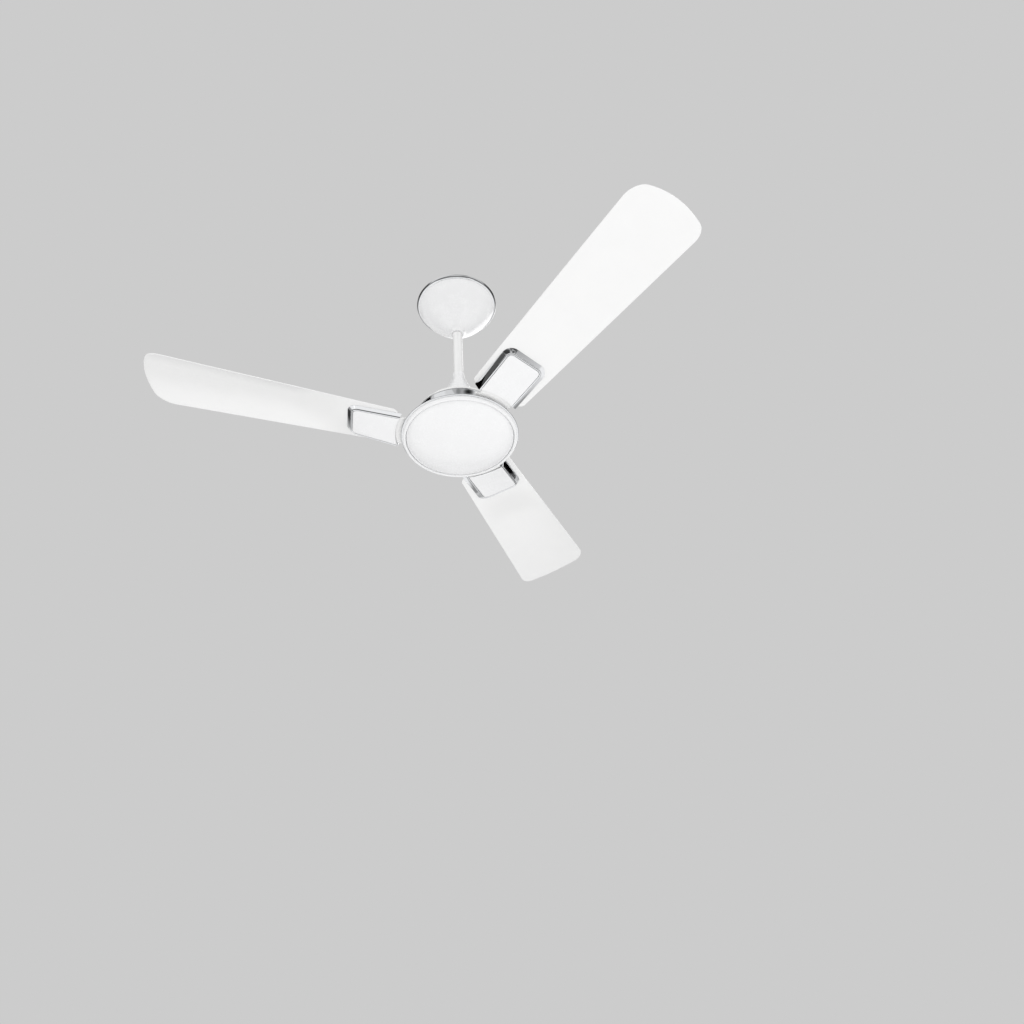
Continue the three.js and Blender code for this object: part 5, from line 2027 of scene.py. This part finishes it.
        name = f"moulded_trim_panel_{self.number}"
        panel = self._shaped_grid(name, self.panel_rows, self.panel_rows, point)
        modify(panel, "SOLIDIFY", thickness=self.panel_thickness - slope, offset=1)
        self._settle(panel)
        bosses = []
        for side in (-0.5, 0.5):
            x, y = self.screw_place + side * self.screw_spread, self.trim_middle
            foot = Vector((x, y, face + self.panel_thickness / 2 - self._drop(x, y)))
            top = Vector((x, y, -GAP - self.arm_thickness - GAP))
            boss = rod_piece("boss", self.panel_boss, foot, top, SIDES_SMALL)
            boss.data.transform(self.lie @ self.turned)
            bosses.append(boss)
        carve(panel, bosses, "UNION")
        self.add(softened(panel, 0.25 * MM, angle=30), MOULDING, f"trim_panel_{self.number}")

    def _screws(self) -> None:
        """The screw under the foot and the two through the blade."""
        low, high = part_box(f"arm_screw_{self.number}")
        head = self.arm_screw_height
        fixing = PanScrew(self.screw_radius, self.screw_head, head, high.z - low.z - head)
        screw = fixing.model(f"pan_head_arm_screw_{self.number}")
        seat = Matrix.Translation((self.arm_screw, 0, low.z + head - HUB))
        screw.data.transform(self.spin @ seat @ Matrix.Rotation(math.pi, 4, "X"))
        self.add(screw, ZINC, f"arm_screw_{self.number}")
        seat_height = self.sheet + GAP
        length = seat_height + GAP + self.arm_thickness
        fixing = PanScrew(self.screw_radius, self.screw_head, self.blade_screw_height, length)
        model = fixing.model("blade_screw_model")
        for i, side in enumerate((-1, 1)):
            y = self.trim_middle + side * self.screw_spread
            place = self.lie @ Matrix.Translation((self.screw_place, y, seat_height))
            name = f"pan_head_blade_screw_{self.number}_{i + 1}"
            node = f"blade_screw_{self.number}_{i + 1}"
            self.add(twin(model, name, place), ZINC, node)
        bpy.data.objects.remove(model)


# ---- Studio ------------------------------------------------------------------------------------


@dataclass(frozen=True)
class Lamp:
    """A square soft light that faces the fan; mirrored says whether bright metal shows it."""

    name: str
    place: Place
    size: float
    power: float
    mirrored: bool = True

    def add(self, target: Vector) -> None:
        """Hangs the light, facing a point.

        Args:
            target: the point.
        """
        data = bpy.data.lights.new(self.name, "AREA")
        data.shape = "SQUARE"
        data.size = self.size
        data.energy = self.power
        lamp = bpy.data.objects.new(self.name, data)
        lamp.location = self.place
        lamp.rotation_mode = "QUATERNION"
        way = target - Vector(self.place)
        lamp.rotation_quaternion = way.to_track_quat("-Z", "Y")
        lamp.visible_camera = False
        lamp.visible_glossy = self.mirrored
        bpy.context.scene.collection.objects.link(lamp)


@dataclass(frozen=True)
class Flag:
    """A round dark flag far away, which only bright metal mirrors."""

    way: Place
    radius: float
    darkness: float

    def stops(self) -> tuple[Point, ...]:
        """Its darkness, by the cosine of the angle from its middle."""
        edge = math.cos(math.radians(self.radius))
        return (edge - 0.01, 0.0), (edge + 0.01, self.darkness)


@dataclass
class Studio:
    """The camera below the fan, the lights, the floor and the pale grey surroundings.

    Stops are pairs of a place and a level. gleam_stops and front_stops say how bright a mirrored
    floor is, by the distance from its middle and by the place along Y; horizon_stops and
    side_stops say how dark the mirrored horizon is, by height and by the distance from Y.
    """

    image_width: float = 1024
    sensor: float = 36
    focal_pixels: float = 1190.577
    distance: float = 2.282362
    elevation: float = 0.764
    yaw: float = -0.042
    pitch: float = 0.063
    roll: float = -0.024
    background: float = 0.604
    light_level: float = 1.0
    floor_height: float = -3.2
    floor_size: float = 24
    floor_color: float = 0.9
    floor_mottle: float = 0.02
    floor_patch: float = 0.6
    floor_roughness: float = 0.9
    gleam_stops: tuple[Point, ...] = ((0.08, 0.2), (0.11, 0.97), (0.5, 0.97), (0.7, 0.3))
    front_stops: tuple[Point, ...] = ((0.28, 0.2), (0.4, 0.62), (0.455, 1.0))
    horizon_stops: tuple[Point, ...] = ((0.4, 0.0), (0.45, 0.9), (0.56, 0.94), (0.62, 0.0))
    side_stops: tuple[Point, ...] = ((0.08, 0.0), (0.28, 1.0))
    flags: tuple[Flag, ...] = (
        Flag((0.2, -0.7, 0.69), 16, 0.37),
        Flag((-0.2, -0.7, 0.69), 14, 0.2),
        Flag((0.3, -0.65, 0.7), 6, 0.6),
        Flag((0.643, 0.328, 0.692), 28, 0.85),
        Flag((-0.643, 0.328, 0.692), 28, 0.85),
        Flag((0.91, 0.1, 0.4), 22, 0.85),
        Flag((-0.91, 0.0, 0.4), 22, 0.85),
        Flag((0.0, -0.975, -0.22), 10, 0.75),
    )
    lamps: tuple[Lamp, ...] = field(
        default=(
            Lamp("key", (1.6, -1.3, -2.1), 2.2, 12, mirrored=False),
            Lamp("fill", (-2.2, -0.7, -1.9), 2.4, 5),
            Lamp("front", (-1.4, -1.65, 1.7), 2.0, 3),
            Lamp("back", (0.8, 2.4, 1.6), 2.0, 14),
        )
    )

    def add_camera(self) -> None:
        """Sets the camera where the photograph was taken."""
        e = self.elevation
        right = Vector((1, 0, 0))
        forward = Vector((0, math.cos(e), math.sin(e)))
        down = -right.cross(forward)
        level = Matrix((right, down, forward))
        turn = Matrix.Rotation(self.roll, 3, "Z")
        turn = turn @ Matrix.Rotation(self.pitch, 3, "X") @ Matrix.Rotation(self.yaw, 3, "Y")
        rows = turn @ level
        axes = Matrix((rows[0], -rows[1], -rows[2])).transposed()
        data = bpy.data.cameras.new("camera")
        data.sensor_width = self.sensor
        data.lens = self.sensor * self.focal_pixels / self.image_width
        camera = bpy.data.objects.new("camera", data)
        place = -self.distance * forward + Vector((0, 0, HUB))
        camera.matrix_world = Matrix.Translation(place) @ axes.to_4x4()
        bpy.context.scene.collection.objects.link(camera)
        bpy.context.scene.camera = camera

    def add_surroundings(self) -> None:
        """Adds the lights, the floor and the world."""
        for lamp in self.lamps:
            lamp.add(Vector((0, 0, HUB)))
        self._floor()
        self._world()
        bpy.context.scene.view_settings.view_transform = "Standard"

    def _floor(self) -> None:
        """A plain pale floor far below the fan; metal mirrors it white, and dark in front."""
        size = self.floor_size
        floor = started(
            "studio_floor",
            lambda: bpy.ops.mesh.primitive_plane_add(
                size=size, location=(0, 0, self.floor_height)
            ),
        )
        made = bpy.data.materials.new("pale_floor")
        made.use_nodes = True
        tree = ShaderTree(made.node_tree)
        place = tree.node("ShaderNodeTexCoord").outputs["Object"]
        patches = tree.noise(self.floor_patch, place) * self.floor_mottle
        shade = patches + (self.floor_color - self.floor_mottle / 2)
        grey = tree.node("ShaderNodeCombineColor", None, {0: shade, 1: shade, 2: shade})
        paint = tree.node(
            "ShaderNodeBsdfPrincipled",
            None,
            {"Base Color": grey.outputs[0], "Roughness": self.floor_roughness},
        )
        reach = tree.node("ShaderNodeVectorMath", {"operation": "LENGTH"}, {0: place})
        share = Value(tree, reach.outputs["Value"]) * (2 / size)
        parts = tree.node("ShaderNodeSeparateXYZ", None, {0: place}).outputs
        front = self._ramp(tree, Value(tree, parts[1]) * (1 / size) + 0.5, self.front_stops)
        shine = self._ramp(tree, share, self.gleam_stops) * front
        pale = tree.node("ShaderNodeCombineColor", None, {0: shine, 1: shine, 2: shine})
        gleam = tree.node("ShaderNodeEmission", None, {"Color": pale.outputs[0]})
        rays = tree.node("ShaderNodeLightPath").outputs
        mirrored = Value(tree, rays["Is Glossy Ray"]) + Value(tree, rays["Is Transmission Ray"])
        mixed = tree.node(
            "ShaderNodeMixShader",
            None,
            {0: mirrored.clamped(), 1: paint.outputs[0], 2: gleam.outputs[0]},
        )
        tree.node("ShaderNodeOutputMaterial", None, {"Surface": mixed.outputs[0]})
        floor.data.materials.append(made)

    def _world(self) -> None:
        """Even pale light, and a plain grey backdrop; bright metal also mirrors dark flags."""
        world = bpy.data.worlds.new("studio")
        bpy.context.scene.world = world
        world.use_nodes = True
        tree = ShaderTree(world.node_tree)
        rays = tree.node("ShaderNodeLightPath").outputs
        glossy = Value(tree, rays["Is Glossy Ray"])
        seen = Value(tree, rays["Is Camera Ray"]) + glossy
        seen = (seen + Value(tree, rays["Is Transmission Ray"])).clamped()
        level = (1 - self._flags(tree) * glossy) * self.background
        grey = tree.node("ShaderNodeCombineColor", None, {0: level, 1: level, 2: level})
        backdrop = tree.node("ShaderNodeBackground", None, {"Color": grey.outputs[0]})
        white = (1, 1, 1, 1)
        light = tree.node(
            "ShaderNodeBackground", None, {"Color": white, "Strength": self.light_level}
        )
        mixed = tree.node(
            "ShaderNodeMixShader", None, {0: seen, 1: light.outputs[0], 2: backdrop.outputs[0]}
        )
        tree.node("ShaderNodeOutputWorld", None, {"Surface": mixed.outputs[0]})

    def _flags(self, tree: ShaderTree) -> Value:
        """How dark the flags beside the fan are, by direction.

        Args:
            tree: the world's tree.

        Returns:
            1 where a flag hides the backdrop, 0 where none does.
        """
        way = tree.node("ShaderNodeTexCoord").outputs["Generated"]
        parts = tree.node("ShaderNodeSeparateXYZ", None, {0: way}).outputs
        across = Value(tree, parts[0])
        up = Value(tree, parts[2])
        horizon = self._ramp(tree, up * 0.5 + 0.5, self.horizon_stops)
        side = self._ramp(tree, (across * across).power(0.5), self.side_stops)
        dark = horizon * side
        for flag in self.flags:
            facing = tree.node(
                "ShaderNodeVectorMath", {"operation": "DOT_PRODUCT"}, {0: way, 1: flag.way}
            )
            dark = dark + self._ramp(tree, Value(tree, facing.outputs["Value"]), flag.stops())
        return dark.clamped()

    @staticmethod
    def _ramp(tree: ShaderTree, value: Value, stops: Sequence[Point]) -> Value:
        """A value read off a ramp of grey levels.

        Args:
            tree: the floor's or the world's tree.
            value: where the ramp is read.
            stops: pairs of a place and a level.

        Returns:
            The level.
        """
        ramp = tree.node("ShaderNodeValToRGB", {"stops": stops}, {0: value})
        return Value(tree, ramp.outputs[0])


def main() -> None:
    """Builds the studio and the fan, and reports each sub-assembly's pieces."""
    logging.basicConfig(level=logging.INFO, format="%(message)s")
    studio = Studio()
    studio.add_camera()
    parts: list[SubAssembly] = [Hanger(), Rod(), Canopy(), Bell(), Motor(), BottomCover()]
    parts += [BladeSet(number=number) for number in (1, 2, 3)]
    for part in parts:
        part.build()
        logger.info("%s: %s", type(part).__name__, ", ".join(part.names))
    studio.add_surroundings()


if __name__ == "__main__":
    main()
